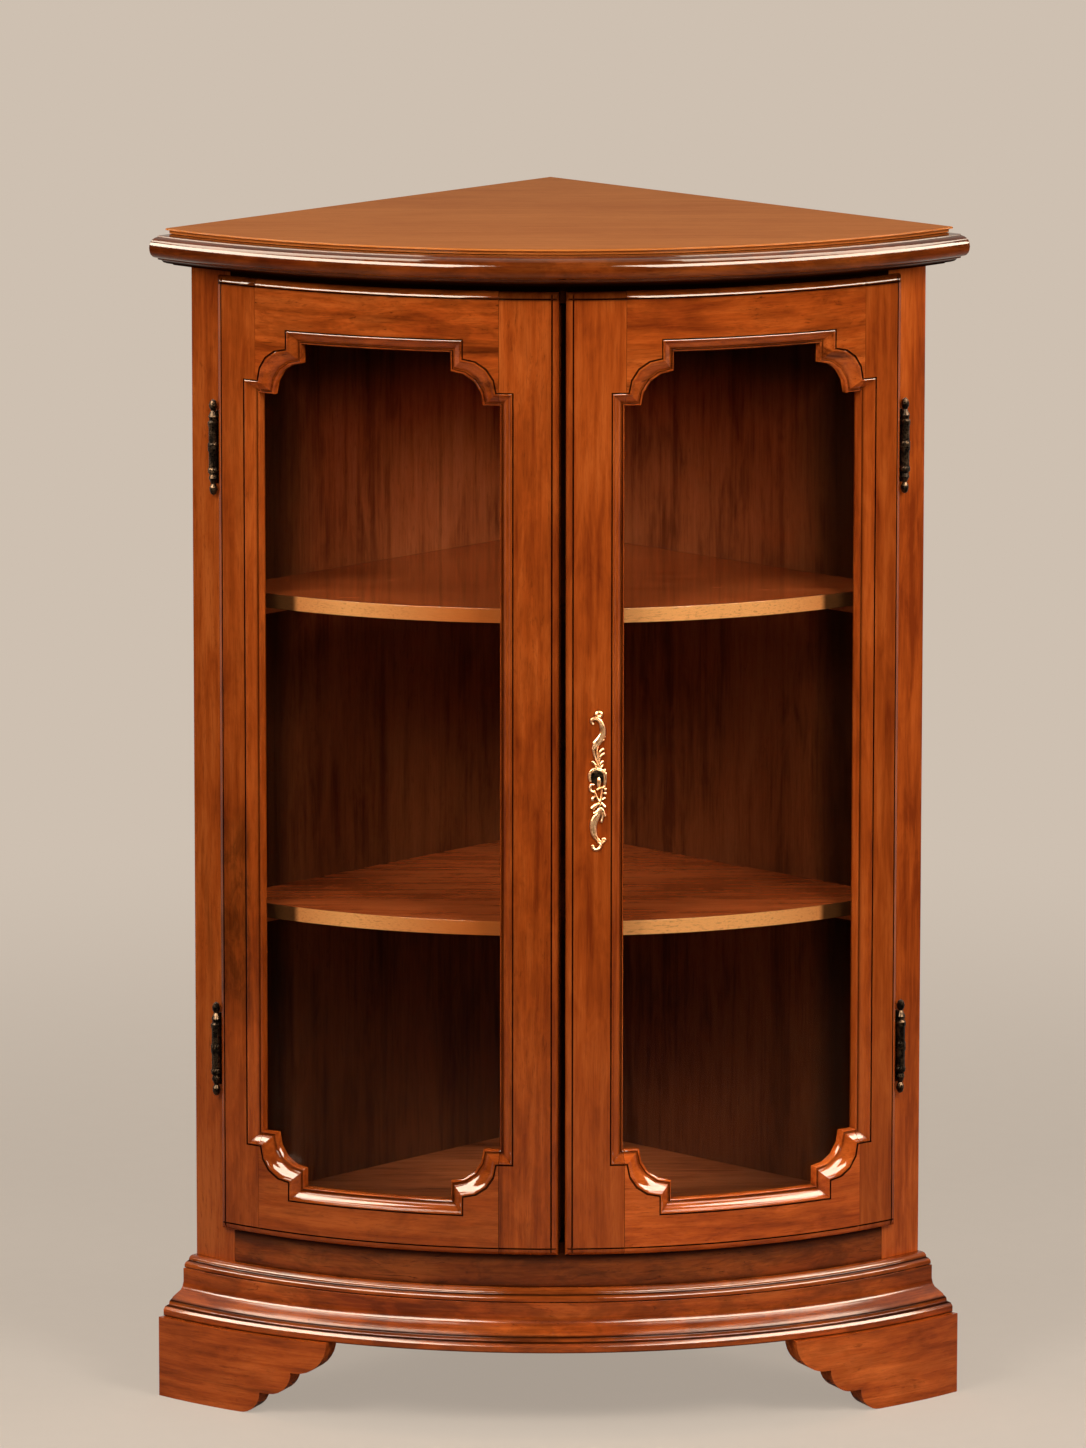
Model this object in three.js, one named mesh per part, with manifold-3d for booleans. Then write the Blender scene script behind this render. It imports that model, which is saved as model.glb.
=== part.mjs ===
// Corner curio cabinet: a quarter-round carcass that stands in a room corner, with two bowed, glazed doors.
// Millimetres, +Z up. Plan sizes are worked out from the room corner, where the two wall panels meet, and
// angles run round that corner from the middle of the front. The finished group then moves back so that its
// origin lies on the floor under the middle of the whole cabinet.
import * as THREE from 'three';
import { mergeVertices } from 'three/addons/utils/BufferGeometryUtils.js';
import Module from 'manifold-3d';

const wasm = await Module();
wasm.setup();

// Clearances, how far a cutting solid runs past what it cuts, and how far joined shapes run into each other
const SEAT_GAP = 0.3;
const CUT_OVERRUN = 20;
const FUSE_DEPTH = 1;

// How finely round shapes are divided
const BOW_STEP_DEG = 2.5;
const ARC_STEPS = 4;
const TURNED_SIDES = 12;
const BORE_SIDES = 16;

// Carcass
const WALL_ANGLE_DEG = 45;
const HEIGHT = 1100;
const CASE_RADIUS = 479;
const FRAME_DEPTH = 26;
const WALL_THICKNESS = 9;
const POST_WIDTH = 48.5;
const TOP_RAIL_HEIGHT = 48;
const RAIL_REVEAL = 42.5;
const BATTEN_LEG = 22;

// Top board and cornice
const TOP_EDGE = 5.5;
const TOP_THICKNESS = 14;
const TOP_OVERHANG = 33;
const TOP_ARRIS = 1.2;
const TOP_LIP = 1.9;
const TOP_QUIRK = 5;
const CORNICE_HEIGHT = 31.5;
const CORNICE_PROJECTION = 54;

// Base mouldings and feet
const FOOT_HEIGHT = 75.6;
const FOOT_PROJECTION = 50;
const FOOT_THICKNESS = 24;
const FOOT_WIDTH = 191;
const BASE_BEAD_HEIGHT = 11;
const BASE_BEAD_PROJECTION = 17;
const BASE_COVE_HEIGHT = 41.4;
const BASE_COVE_PROJECTION = 44;
const FOOT_BLOCK_WIDTH = 56;
const FOOT_BLOCK_DEPTH = 62;
const FOOT_BLOCK_RISE = 3;
const REAR_FOOT_SIDE = 58;
const BASE_BOARD_THICKNESS = 12;

// Floor, shelves and the cleats that carry them. A shelf's place is a share of the height inside.
const FLOOR_THICKNESS = 15;
const FLOOR_RISE = 4.5;
const SHELF_THICKNESS = 13.5;
const UPPER_SHELF_SHARE = 0.6416;
const LOWER_SHELF_SHARE = 0.3205;
const SHELF_SETBACK = 28;
const CLEAT_WIDTH = 12;
const CLEAT_HEIGHT = 16;
const CLEAT_SETBACK = 34;

// Doors
const DOOR_THICKNESS = 22;
const LIP_THICKNESS = 7.6;
const LIP_CLEARANCE = 0.4;
const LIP_OVERLAP = 11.3;
const BODY_CLEARANCE = 2;
const DOOR_GAP = 6;
const MEETING_BEVEL_DEG = 22;
const EDGE_ROUND = 6;
const EDGE_SINK = 0.3;
const QUIRK_WIDTH = 1.5;
const QUIRK_DEPTH = 2.2;
const HINGE_MARGIN = 32.3;
const MEETING_MARGIN = 41.6;
const TOP_MARGIN = 44.3;
const BOTTOM_MARGIN = 36.3;
const CORNER_STEP_TALL = 17.5;
const CORNER_STEP_WIDE = 15.5;
const CORNER_RADIUS = 31;
const MOULDING_WIDTH = 13.3;
const MOULDING_DEPTH = 11;
const STILE_SHOULDER = 0.5;

// Glazing
const GLASS_THICKNESS = 3;
const GLASS_REBATE = 7;
const GLASS_CLEARANCE = 1;
const BEAD_WIDTH = 9;

// Hinges: a lift-off pair on each side
const HINGE_HEIGHT = 90;
const HINGE_RADIUS = 5.1;
const HINGE_PAST_EDGE = 5;
const HINGE_STAND_OFF = 0.9;
const UPPER_HINGE_FROM_TOP = 160.5;
const LOWER_HINGE_FROM_BOTTOM = 170.8;
const PIN_RADIUS = 2.5;
const PIN_LENGTH = 44;
const PIN_PLAY = 0.1;
const LEAF_WIDTH = 14;
const LEAF_HEIGHT = 34;
const LEAF_THICKNESS = 1.5;
const LEAF_NECK = 2.6;

// Lock and escutcheon on the right door. The keyhole's level is a share of the door's height.
const LOCK_SHARE = 0.4985;
const LOCK_FROM_GAP = 29.5;
const ESCUTCHEON_HEIGHT = 131.5;
const ESCUTCHEON_THICKNESS = 2.4;
const ESCUTCHEON_BACKING = 0.9;
const KEYHOLE_RADIUS = 3.6;
const KEYHOLE_DEPTH = 6;
const LOCK_CASE_WIDTH = 30.5;
const LOCK_CASE_HEIGHT = 50;
const LOCK_CASE_DEPTH = 11;
const LOCK_CASE_REACH = 20.5;
const LOCK_CASE_DROP = 19;
const LOCK_CASE_WALL = 2;
const LOCK_BOLT_HEIGHT = 12;
const LOCK_BOLT_DEPTH = 5;
const LOCK_BOLT_LENGTH = 25;
const LOCK_BOLT_RISE = 14;
const LOCK_BOLT_RECESS = 0.5;
const SLIDE_PLAY = 0.4;
const KEEPER_WIDTH = 17;
const KEEPER_HEIGHT = 30;
const KEEPER_WALL = 2;
const KEEPER_FROM_CASE = 8;

// Slide bolts on the left door's meeting stile
const ROD_RADIUS = 2.8;
const ROD_LENGTH = 76;
const ROD_FROM_GAP = 17;
const ROD_BACK_OFF = 6;
const ROD_TRAVEL = 10;
const ROD_END_CLEARANCE = 1;
const ROD_PAST_GUIDE = 14;
const ROD_HOLE_PLAY = 0.6;
const KNOB_RADIUS = 2;
const KNOB_REACH = 8;
const KNOB_FROM_END = 6;
const GUIDE_WIDTH = 14;
const GUIDE_HEIGHT = 34;
const GUIDE_WALL = 2.2;

// Levels and radii that follow from the sizes above
const FRAME_INNER = CASE_RADIUS - FRAME_DEPTH;
const CASE_BOTTOM = FOOT_HEIGHT + SEAT_GAP;
const BASE_TOP = FOOT_HEIGHT + BASE_COVE_HEIGHT + BASE_BEAD_HEIGHT;
const OPENING_BOTTOM = BASE_TOP + RAIL_REVEAL;
const CASE_TOP = HEIGHT - TOP_EDGE - SEAT_GAP;
const OPENING_TOP = CASE_TOP - TOP_RAIL_HEIGHT;
const FLOOR_LEVEL = OPENING_BOTTOM + FLOOR_RISE;
const INNER_INSET = WALL_THICKNESS + SEAT_GAP;
const FITTED_RADIUS = FRAME_INNER - SEAT_GAP;
const LIP_BACK = CASE_RADIUS + LIP_CLEARANCE;
const DOOR_FACE = LIP_BACK + LIP_THICKNESS;
const DOOR_BACK = DOOR_FACE - DOOR_THICKNESS;
const DOOR_BOTTOM = OPENING_BOTTOM - LIP_OVERLAP;
const DOOR_TOP = OPENING_TOP + LIP_OVERLAP;
const BODY_BOTTOM = OPENING_BOTTOM + BODY_CLEARANCE;
const BODY_TOP = OPENING_TOP - BODY_CLEARANCE;
const HINGE_CENTRE = CASE_RADIUS + HINGE_STAND_OFF + HINGE_RADIUS;
const ROD_CENTRE = DOOR_BACK - ROD_BACK_OFF;
const CEILING = HEIGHT - TOP_THICKNESS;
const LOCK_HEIGHT = THREE.MathUtils.lerp(DOOR_BOTTOM, DOOR_TOP, LOCK_SHARE);

// Angles round the room corner, in degrees, from lengths along a curve
const degrees = (length, radius) => THREE.MathUtils.radToDeg(length / radius);
const onFace = (length) => degrees(length, DOOR_FACE);
const SEAT_ANGLE = onFace(SEAT_GAP);
const POST_EDGE = WALL_ANGLE_DEG - degrees(POST_WIDTH, CASE_RADIUS);
const DOOR_EDGE = POST_EDGE + onFace(LIP_OVERLAP);
const BODY_EDGE = POST_EDGE - onFace(BODY_CLEARANCE);
const HINGE_ANGLE = DOOR_EDGE + onFace(HINGE_PAST_EDGE);
const LOCK_ANGLE = onFace(LOCK_FROM_GAP + DOOR_GAP / 2);
const ROD_ANGLE = -onFace(ROD_FROM_GAP + DOOR_GAP / 2);

// A door's light, to the outer line of its moulding, and the joints between stiles and rails
const LIGHT = {
  near: onFace(DOOR_GAP / 2 + MEETING_MARGIN),
  far: DOOR_EDGE - onFace(HINGE_MARGIN),
  low: DOOR_BOTTOM + BOTTOM_MARGIN,
  high: DOOR_TOP - TOP_MARGIN,
};
const MEETING_JOINT = LIGHT.near + onFace(MOULDING_WIDTH + STILE_SHOULDER);
const HINGE_JOINT = LIGHT.far - onFace(MOULDING_WIDTH + STILE_SHOULDER);

// Profiles as shares of a moulding's projection and height, from its bottom inner corner outwards and up
const CORNICE_SHARES = [
  [0, 0], [0.42, 0.07], [0.46, 0.12], [0.56, 0.14], [0.66, 0.19], [0.72, 0.27], [0.79, 0.29], [0.8, 0.345],
  [0.86, 0.36], [0.92, 0.4], [0.965, 0.47], [0.99, 0.56], [1, 0.665], [0.99, 0.77], [0.965, 0.85],
  [0.92, 0.91], [0.86, 0.95], [0.8, 0.965], [0.79, 1], [0, 1],
];
const BASE_BEAD_SHARES = [
  [0, 0], [0.96, 0], [0.96, 0.24], [0.91, 0.4], [0.76, 0.52], [0.62, 0.58], [0.59, 0.76], [0.49, 0.92],
  [0.3, 1], [0, 1],
];
const BASE_COVE_SHARES = [
  [0, 0], [1, 0], [1, 0.14], [0.95, 0.21], [0.835, 0.235], [0.82, 0.31], [0.74, 0.36], [0.714, 0.39],
  [0.6, 0.45], [0.48, 0.51], [0.435, 0.57], [0.4, 0.68], [0.4, 1], [0, 1],
];
// The top board's front arris, as shares of its size, in from the front and down from the top
const ARRIS_SHARES = [[0, 1], [0.3, 0.3], [1, 0]];
// How far the slope from the door's edge bead takes up the quirk beside it
const QUIRK_SLOPE_SHARE = 0.25;
// The door light's moulding, as shares of its width and depth, from the face inwards
const MOULDING_SHARES = [
  [0, 0], [0, 0.2], [0.09, 0.2], [0.1, 0.04], [0.14, 0.02], [0.19, 0.04], [0.26, 0.18], [0.35, 0.3],
  [0.47, 0.4], [0.6, 0.52], [0.7, 0.66], [0.77, 0.8], [0.84, 0.82], [0.87, 0.72], [0.9, 0.68], [0.94, 0.7],
  [1, 0.84],
];
// The bracket foot's inner edge: three lobes with short flats between, as shares of the foot's height
const FOOT_LOBE_SHARES = [0.42, 0.3, 0.28];
const FOOT_FLAT_SHARES = [0.07, 0.14, 0];
// A turned knuckle, as shares of the hinge's radius and of half its height, from the middle joint to the tip
const KNUCKLE_SHARES = [
  [1, 0], [1, 0.07], [0.86, 0.1], [0.86, 0.42], [1, 0.45], [1, 0.52], [0.68, 0.56], [0.88, 0.64], [0.6, 0.71],
  [0.4, 0.76], [0.7, 0.82], [0.76, 0.88], [0.52, 0.96], [0, 1],
];
// The escutcheon's scrolls, as shares of its height about the keyhole: across, up and half the width
const SCROLL_SHARES = [
  [
    [-0.046, 0.398, 0.012], [-0.024, 0.42, 0.014], [0.012, 0.396, 0.016], [0.032, 0.36, 0.017],
    [0.034, 0.32, 0.017], [0.014, 0.28, 0.016], [-0.02, 0.254, 0.016], [-0.034, 0.215, 0.017],
    [-0.024, 0.165, 0.018], [-0.007, 0.115, 0.02], [-0.004, 0.06, 0.024],
  ],
  [
    [-0.004, -0.05, 0.026], [0.006, -0.1, 0.02], [0.008, -0.15, 0.018], [0.008, -0.2, 0.019],
    [0.014, -0.245, 0.017], [-0.022, -0.292, 0.015], [-0.042, -0.342, 0.014], [-0.036, -0.396, 0.014],
    [-0.014, -0.446, 0.014], [-0.011, -0.478, 0.018],
  ],
  [[-0.022, -0.285, 0.014], [-0.007, -0.34, 0.012], [-0.006, -0.392, 0.011], [0.014, -0.436, 0.012],
    [0.044, -0.44, 0.014]],
  [[-0.048, -0.062, 0.013], [-0.026, -0.105, 0.015], [0.004, -0.15, 0.016]],
  [[0.004, 0.455, 0.011], [-0.004, 0.43, 0.011], [-0.012, 0.408, 0.011]],
];
const LEAF_SHARES = [
  [[-0.026, 0.17, 0.014], [0.008, 0.196, 0.012], [0.038, 0.21, 0.004]],
  [[-0.018, 0.135, 0.014], [0.014, 0.158, 0.012], [0.044, 0.172, 0.004]],
  [[-0.004, 0.095, 0.014], [-0.026, 0.106, 0.012], [-0.048, 0.124, 0.004]],
  [[0.008, -0.175, 0.014], [-0.02, -0.196, 0.013], [-0.048, -0.217, 0.004]],
  [[0.01, -0.21, 0.014], [-0.014, -0.23, 0.013], [-0.038, -0.254, 0.004]],
  [[0.008, -0.17, 0.014], [0.03, -0.186, 0.013], [0.053, -0.21, 0.004]],
  [[0.012, -0.235, 0.014], [0.03, -0.252, 0.013], [0.046, -0.279, 0.004]],
];
// Round bosses at the ends, and the oval about the keyhole: across, up, half width and half height
const BOSS_SHARES = [
  [0.004, 0.457, 0.029, 0.029],
  [-0.011, -0.484, 0.028, 0.016],
  [-0.047, -0.066, 0.02, 0.02],
];
const OVAL_SHARES = [0, 0, 0.063, 0.067];
const OVAL_BORE_SHARES = [0, 0, 0.046, 0.05];

// Materials
const finish = (color, roughness, metalness = 0) =>
  new THREE.MeshStandardMaterial({ color, roughness, metalness });
const caseWood = finish(0x8c4418, 0.3);
const frameWood = finish(0x963e12, 0.3);
const insideWood = finish(0x4a2410, 0.6);
const shelfWood = finish(0xb0703c, 0.4);
const glass = finish(0xdfe8e6, 0.05);
const bronze = finish(0x2a1c12, 0.35, 1);
const brass = finish(0xc9a063, 0.3, 1);
const steel = finish(0x8f8f8c, 0.4, 1);

// The cabinet, and how a finished shape joins it as a named part
const cabinet = new THREE.Group();
const sides = [['left', -1], ['right', 1]];

function add(name, shape, material) {
  const geometry = shape.isBufferGeometry ? shape : toGeometry(shape);
  const mesh = new THREE.Mesh(geometry, material);
  mesh.name = name;
  cabinet.add(mesh);
}

// Conversions between geometry and solids
function toSolid(geometry) {
  const bare = geometry.clone();
  bare.deleteAttribute('normal');
  bare.deleteAttribute('uv');
  const merged = faceOut(mergeVertices(bare));
  return new wasm.Manifold(new wasm.Mesh({
    numProp: 3,
    vertProperties: new Float32Array(merged.attributes.position.array),
    triVerts: new Uint32Array(merged.index.array),
  }));
}

function toGeometry(solid) {
  const mesh = solid.getMesh();
  const geometry = new THREE.BufferGeometry();
  geometry.setAttribute('position', new THREE.BufferAttribute(mesh.vertProperties, mesh.numProp));
  geometry.setIndex(new THREE.BufferAttribute(mesh.triVerts, 1));
  geometry.computeVertexNormals();
  return geometry;
}

// Turns every triangle over when the shape's faces point inwards
function faceOut(geometry) {
  const { index, attributes } = geometry;
  const point = (i) => new THREE.Vector3().fromBufferAttribute(attributes.position, index.getX(i));
  let volume = 0;
  for (let i = 0; i < index.count; i += 3) {
    volume += point(i).dot(point(i + 1).cross(point(i + 2)));
  }
  if (volume < 0) {
    for (let i = 0; i < index.count; i += 3) {
      const first = index.getX(i);
      index.setX(i, index.getX(i + 1));
      index.setX(i + 1, first);
    }
  }
  return geometry;
}

const join = (first, ...others) => others.reduce((sum, solid) => sum.add(solid), first);
const cut = (first, ...others) => others.reduce((rest, solid) => rest.subtract(solid), first);

// A point in plan at an angle and a radius from the room corner
function polar(angle, radius) {
  const turn = THREE.MathUtils.degToRad(angle);
  return new THREE.Vector2(radius * Math.sin(turn), -radius * Math.cos(turn));
}

function stepsBetween(from, to, count) {
  return Array.from({ length: count + 1 }, (_, i) => THREE.MathUtils.lerp(from, to, i / count));
}

function arc(radius, from, to) {
  const count = Math.ceil(Math.abs(to - from) / BOW_STEP_DEG);
  return stepsBetween(from, to, count).map((angle) => polar(angle, radius));
}

// Points round a quarter circle of unit radius, as its sine and cosine
function quarterTurns() {
  return stepsBetween(0, Math.PI / 2, ARC_STEPS).map((turn) => [Math.sin(turn), Math.cos(turn)]);
}

// A plan outline raised between two levels
function raise(points, low, high) {
  const geometry = new THREE.ExtrudeGeometry(new THREE.Shape(points), {
    depth: high - low,
    bevelEnabled: false,
  });
  return geometry.translate(0, 0, low);
}

function sector({ inner, outer, from, to, low, high }) {
  return raise([...arc(outer, from, to), ...arc(inner, to, from)], low, high);
}

// A closed mesh through rings of points. The outline is a ring seen flat, and fills both ends.
function loft(rings, outline) {
  const size = outline.length;
  const positions = rings.flat().flatMap((point) => point.toArray());
  const index = [];
  for (let start = 0; start + size < rings.length * size; start += size) {
    for (let i = 0; i < size; i += 1) {
      const a = start + i;
      const b = start + ((i + 1) % size);
      index.push(a, b, b + size, a, b + size, a + size);
    }
  }
  const last = (rings.length - 1) * size;
  for (const [a, b, c] of THREE.ShapeUtils.triangulateShape(outline, [])) {
    index.push(a, c, b, last + a, last + b, last + c);
  }
  const geometry = new THREE.BufferGeometry();
  geometry.setAttribute('position', new THREE.Float32BufferAttribute(positions, 3));
  geometry.setIndex(index);
  faceOut(geometry).computeVertexNormals();
  return geometry;
}

// A profile of radius and level carried round the whole front
function sweep(profile) {
  const count = Math.ceil(2 * WALL_ANGLE_DEG / BOW_STEP_DEG);
  const rings = stepsBetween(-WALL_ANGLE_DEG, WALL_ANGLE_DEG, count).map((angle) =>
    profile.map(([radius, level]) => {
      const place = polar(angle, radius);
      return new THREE.Vector3(place.x, place.y, level);
    }));
  return loft(rings, profile.map(([radius, level]) => new THREE.Vector2(radius, level)));
}

function moulding(shares, projection, low, high) {
  const seat = CASE_RADIUS + SEAT_GAP;
  return sweep(shares.map(([out, up]) => [
    THREE.MathUtils.lerp(seat, CASE_RADIUS + projection, out),
    THREE.MathUtils.lerp(low, high, up),
  ]));
}

// A board that fills the quadrant: inset from both walls, round at the front, its corner cut off at the back
function cornerBoard({ inset, radius, clip = 0, low, high }) {
  const reach = WALL_ANGLE_DEG - THREE.MathUtils.radToDeg(Math.asin(inset / radius));
  const halfClip = clip - inset * Math.SQRT2;
  const back = halfClip > 0
    ? [new THREE.Vector2(halfClip, -clip), new THREE.Vector2(-halfClip, -clip)]
    : [new THREE.Vector2(0, -inset * Math.SQRT2)];
  return raise([...arc(radius, -reach, reach), ...back], low, high);
}

// A strip along one wall. Side is 1 on the right and -1 on the left, near and far are the distances of its
// faces from the wall plane, and start and end are measured along the wall from the room corner.
function wallStrip({ side, near, far, start, end, mitre = 0, low, high }) {
  const place = (along, off) => new THREE.Vector2(
    side * (along - off) / Math.SQRT2,
    -(along + off) / Math.SQRT2,
  );
  return raise([
    place(start + mitre * near, near),
    place(end, near),
    place(end, far),
    place(start + mitre * far, far),
  ], low, high);
}

// The highest flat seat under a hollow curve, for a piece that reaches this far to each side
const seatUnder = (radius, reach) => Math.sqrt(radius * radius - reach * reach) - SEAT_GAP;

// Turns a piece built with X across and Y outwards to its angle round the corner
const atAngle = (shape, angle) => shape.rotateZ(THREE.MathUtils.degToRad(angle) + Math.PI);

// Stands up an outline drawn across and up, with its depth outwards
function standUp(outline, depth, hand) {
  const geometry = mergeVertices(new THREE.ExtrudeGeometry(outline, {
    depth,
    bevelEnabled: false,
    curveSegments: ARC_STEPS,
  }).deleteAttribute('normal').deleteAttribute('uv'));
  return faceOut(geometry.applyMatrix4(new THREE.Matrix4().makeBasis(
    new THREE.Vector3(-hand, 0, 0),
    new THREE.Vector3(0, 0, 1),
    new THREE.Vector3(0, 1, 0),
  )));
}

function box(from, to) {
  const [x0, y0, z0] = from;
  const [x1, y1, z1] = to;
  const geometry = new THREE.BoxGeometry(Math.abs(x1 - x0), Math.abs(y1 - y0), Math.abs(z1 - z0));
  return geometry.translate((x0 + x1) / 2, (y0 + y1) / 2, (z0 + z1) / 2);
}

function uprightRod(radius, height, sideCount) {
  return new THREE.CylinderGeometry(radius, radius, height, sideCount).rotateX(Math.PI / 2);
}

// Top board and cornice
function addTop() {
  const edge = CASE_RADIUS + TOP_OVERHANG;
  const low = HEIGHT - TOP_EDGE;
  const rim = sweep([
    [CASE_RADIUS, low],
    [edge - TOP_QUIRK, low],
    [edge - TOP_QUIRK, HEIGHT - TOP_LIP],
    [edge, HEIGHT - TOP_LIP],
    ...ARRIS_SHARES.map(([back, down]) => [edge - back * TOP_ARRIS, HEIGHT - down * TOP_ARRIS]),
    [CASE_RADIUS, HEIGHT],
  ]);
  const slab = cornerBoard({ inset: 0, radius: CASE_RADIUS + FUSE_DEPTH, low, high: HEIGHT });
  const sunk = cornerBoard({
    inset: INNER_INSET,
    radius: FITTED_RADIUS,
    low: CEILING,
    high: low + FUSE_DEPTH,
  });
  add('top_board', join(toSolid(slab), toSolid(rim), toSolid(sunk)), caseWood);
  add('cornice_moulding', moulding(
    CORNICE_SHARES, CORNICE_PROJECTION, CASE_TOP - CORNICE_HEIGHT, CASE_TOP,
  ), caseWood);
}

// Posts, rails, wall panels and the batten in the room corner
function addFrame() {
  const depth = { inner: FRAME_INNER, outer: CASE_RADIUS };
  const railEnd = POST_EDGE - SEAT_ANGLE;
  for (const [name, side] of sides) {
    const post = toSolid(sector({
      ...depth, from: side * POST_EDGE, to: side * WALL_ANGLE_DEG, low: CASE_BOTTOM, high: CASE_TOP,
    }));
    add(`${name}_post`, cut(post, ...leafPockets(side, postLeaf)), caseWood);
    add(`${name}_wall_panel`, wallStrip({
      side,
      near: 0,
      far: WALL_THICKNESS,
      start: SEAT_GAP,
      end: FITTED_RADIUS,
      mitre: 1,
      low: CASE_BOTTOM,
      high: CASE_TOP,
    }), insideWood);
  }
  for (const [name, low, high, edge] of [
    ['top', OPENING_TOP, CASE_TOP, OPENING_TOP],
    ['bottom', CASE_BOTTOM, OPENING_BOTTOM, OPENING_BOTTOM],
  ]) {
    const rail = sector({ ...depth, from: -railEnd, to: railEnd, low, high });
    add(`${name}_rail`, cut(toSolid(rail), rodHole(edge)), caseWood);
  }

  const tip = INNER_INSET * Math.SQRT2;
  const half = BATTEN_LEG / Math.SQRT2;
  add('rear_corner_batten', raise([
    new THREE.Vector2(0, -tip),
    new THREE.Vector2(half, -tip - half),
    new THREE.Vector2(-half, -tip - half),
  ], FLOOR_LEVEL + SEAT_GAP, CEILING - SEAT_GAP), insideWood);
}

// The hole in a rail that a slide bolt shoots into
function rodHole(level) {
  const rod = uprightRod(ROD_RADIUS + ROD_HOLE_PLAY, 2 * (ROD_TRAVEL + ROD_HOLE_PLAY), BORE_SIDES);
  const place = polar(ROD_ANGLE, ROD_CENTRE);
  return toSolid(rod.translate(place.x, place.y, level));
}

// Floor, base board, shelves and cleats
function addShelves() {
  const fitted = { inset: INNER_INSET, radius: FITTED_RADIUS };
  add('floor_board', cornerBoard({
    ...fitted, low: FLOOR_LEVEL - FLOOR_THICKNESS, high: FLOOR_LEVEL,
  }), insideWood);
  add('base_board', cornerBoard({
    ...fitted, low: CASE_BOTTOM, high: CASE_BOTTOM + BASE_BOARD_THICKNESS,
  }), insideWood);
  for (const [name, share] of [['upper', UPPER_SHELF_SHARE], ['lower', LOWER_SHELF_SHARE]]) {
    const level = THREE.MathUtils.lerp(FLOOR_LEVEL, CEILING, share);
    const underside = level - SHELF_THICKNESS;
    add(`${name}_shelf`, cornerBoard({
      inset: INNER_INSET,
      radius: CASE_RADIUS - SHELF_SETBACK,
      clip: INNER_INSET * Math.SQRT2 + BATTEN_LEG / Math.SQRT2 + SEAT_GAP,
      low: underside,
      high: level,
    }), shelfWood);
    for (const [hand, side] of sides) {
      add(`${name}_${hand}_shelf_cleat`, wallStrip({
        side,
        near: INNER_INSET,
        far: INNER_INSET + CLEAT_WIDTH,
        start: CLEAT_SETBACK,
        end: FRAME_INNER - CLEAT_SETBACK,
        low: underside - SEAT_GAP - CLEAT_HEIGHT,
        high: underside - SEAT_GAP,
      }), insideWood);
    }
  }
}

// Base mouldings, feet and the blocks behind them
function addBase() {
  const joint = BASE_TOP - BASE_BEAD_HEIGHT;
  add('base_bead_moulding', moulding(
    BASE_BEAD_SHARES, BASE_BEAD_PROJECTION, joint + SEAT_GAP, BASE_TOP,
  ), caseWood);
  add('base_cove_moulding', moulding(
    BASE_COVE_SHARES, BASE_COVE_PROJECTION, CASE_BOTTOM, joint,
  ), caseWood);
  const blockOuter = CASE_RADIUS + FOOT_PROJECTION - FOOT_THICKNESS - SEAT_GAP;
  for (const [name, side] of sides) {
    add(`${name}_bracket_foot`, bracketFoot(side), caseWood);
    add(`${name}_foot_block`, sector({
      inner: blockOuter - FOOT_BLOCK_DEPTH,
      outer: blockOuter,
      from: side * (WALL_ANGLE_DEG - degrees(FOOT_BLOCK_WIDTH, CASE_RADIUS)),
      to: side * WALL_ANGLE_DEG,
      low: FOOT_BLOCK_RISE,
      high: FOOT_HEIGHT,
    }), insideWood);
  }
  const half = REAR_FOOT_SIDE / Math.SQRT2;
  add('rear_foot', raise([
    new THREE.Vector2(0, 0),
    new THREE.Vector2(half, -half),
    new THREE.Vector2(0, -2 * half),
    new THREE.Vector2(-half, -half),
  ], 0, FOOT_HEIGHT), insideWood);
}

// A curved board, sawn square through to an outline of three lobes
function bracketFoot(side) {
  const outer = CASE_RADIUS + FOOT_PROJECTION;
  const end = WALL_ANGLE_DEG - degrees(FOOT_WIDTH, outer);
  const board = sector({
    inner: outer - FOOT_THICKNESS,
    outer,
    from: side * (end - degrees(CUT_OVERRUN, outer)),
    to: side * WALL_ANGLE_DEG,
    low: 0,
    high: FOOT_HEIGHT,
  });
  const lobes = FOOT_LOBE_SHARES.map((share) => share * FOOT_HEIGHT);
  const flats = FOOT_FLAT_SHARES.map((share) => share * FOOT_HEIGHT);
  const outline = new THREE.Shape();
  outline.moveTo(-2 * CUT_OVERRUN, -CUT_OVERRUN);
  outline.lineTo(-2 * CUT_OVERRUN, FOOT_HEIGHT + CUT_OVERRUN);
  outline.lineTo(0, FOOT_HEIGHT + CUT_OVERRUN);
  let along = 0;
  let level = FOOT_HEIGHT;
  for (const [i, lobe] of lobes.entries()) {
    outline.lineTo(along, level);
    outline.absarc(along + lobe, level, lobe, Math.PI, 3 * Math.PI / 2, false);
    along += lobe + flats[i];
    level -= lobe;
  }
  outline.lineTo(along, -CUT_OVERRUN);
  const saw = standUp(outline, outer + CUT_OVERRUN, side);
  return cut(toSolid(board), toSolid(atAngle(saw, side * end)));
}

// A door's moulded edge: how far in from the edge, and how deep below the face
function edgeProfile() {
  const inset = EDGE_ROUND + QUIRK_WIDTH;
  return [
    ...quarterTurns().map(([sine, cosine]) => [
      EDGE_ROUND * (1 - cosine),
      EDGE_ROUND - (EDGE_ROUND - EDGE_SINK) * sine,
    ]),
    [EDGE_ROUND + QUIRK_SLOPE_SHARE * QUIRK_WIDTH, QUIRK_DEPTH],
    [inset, QUIRK_DEPTH],
    [inset, 0],
  ];
}

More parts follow.
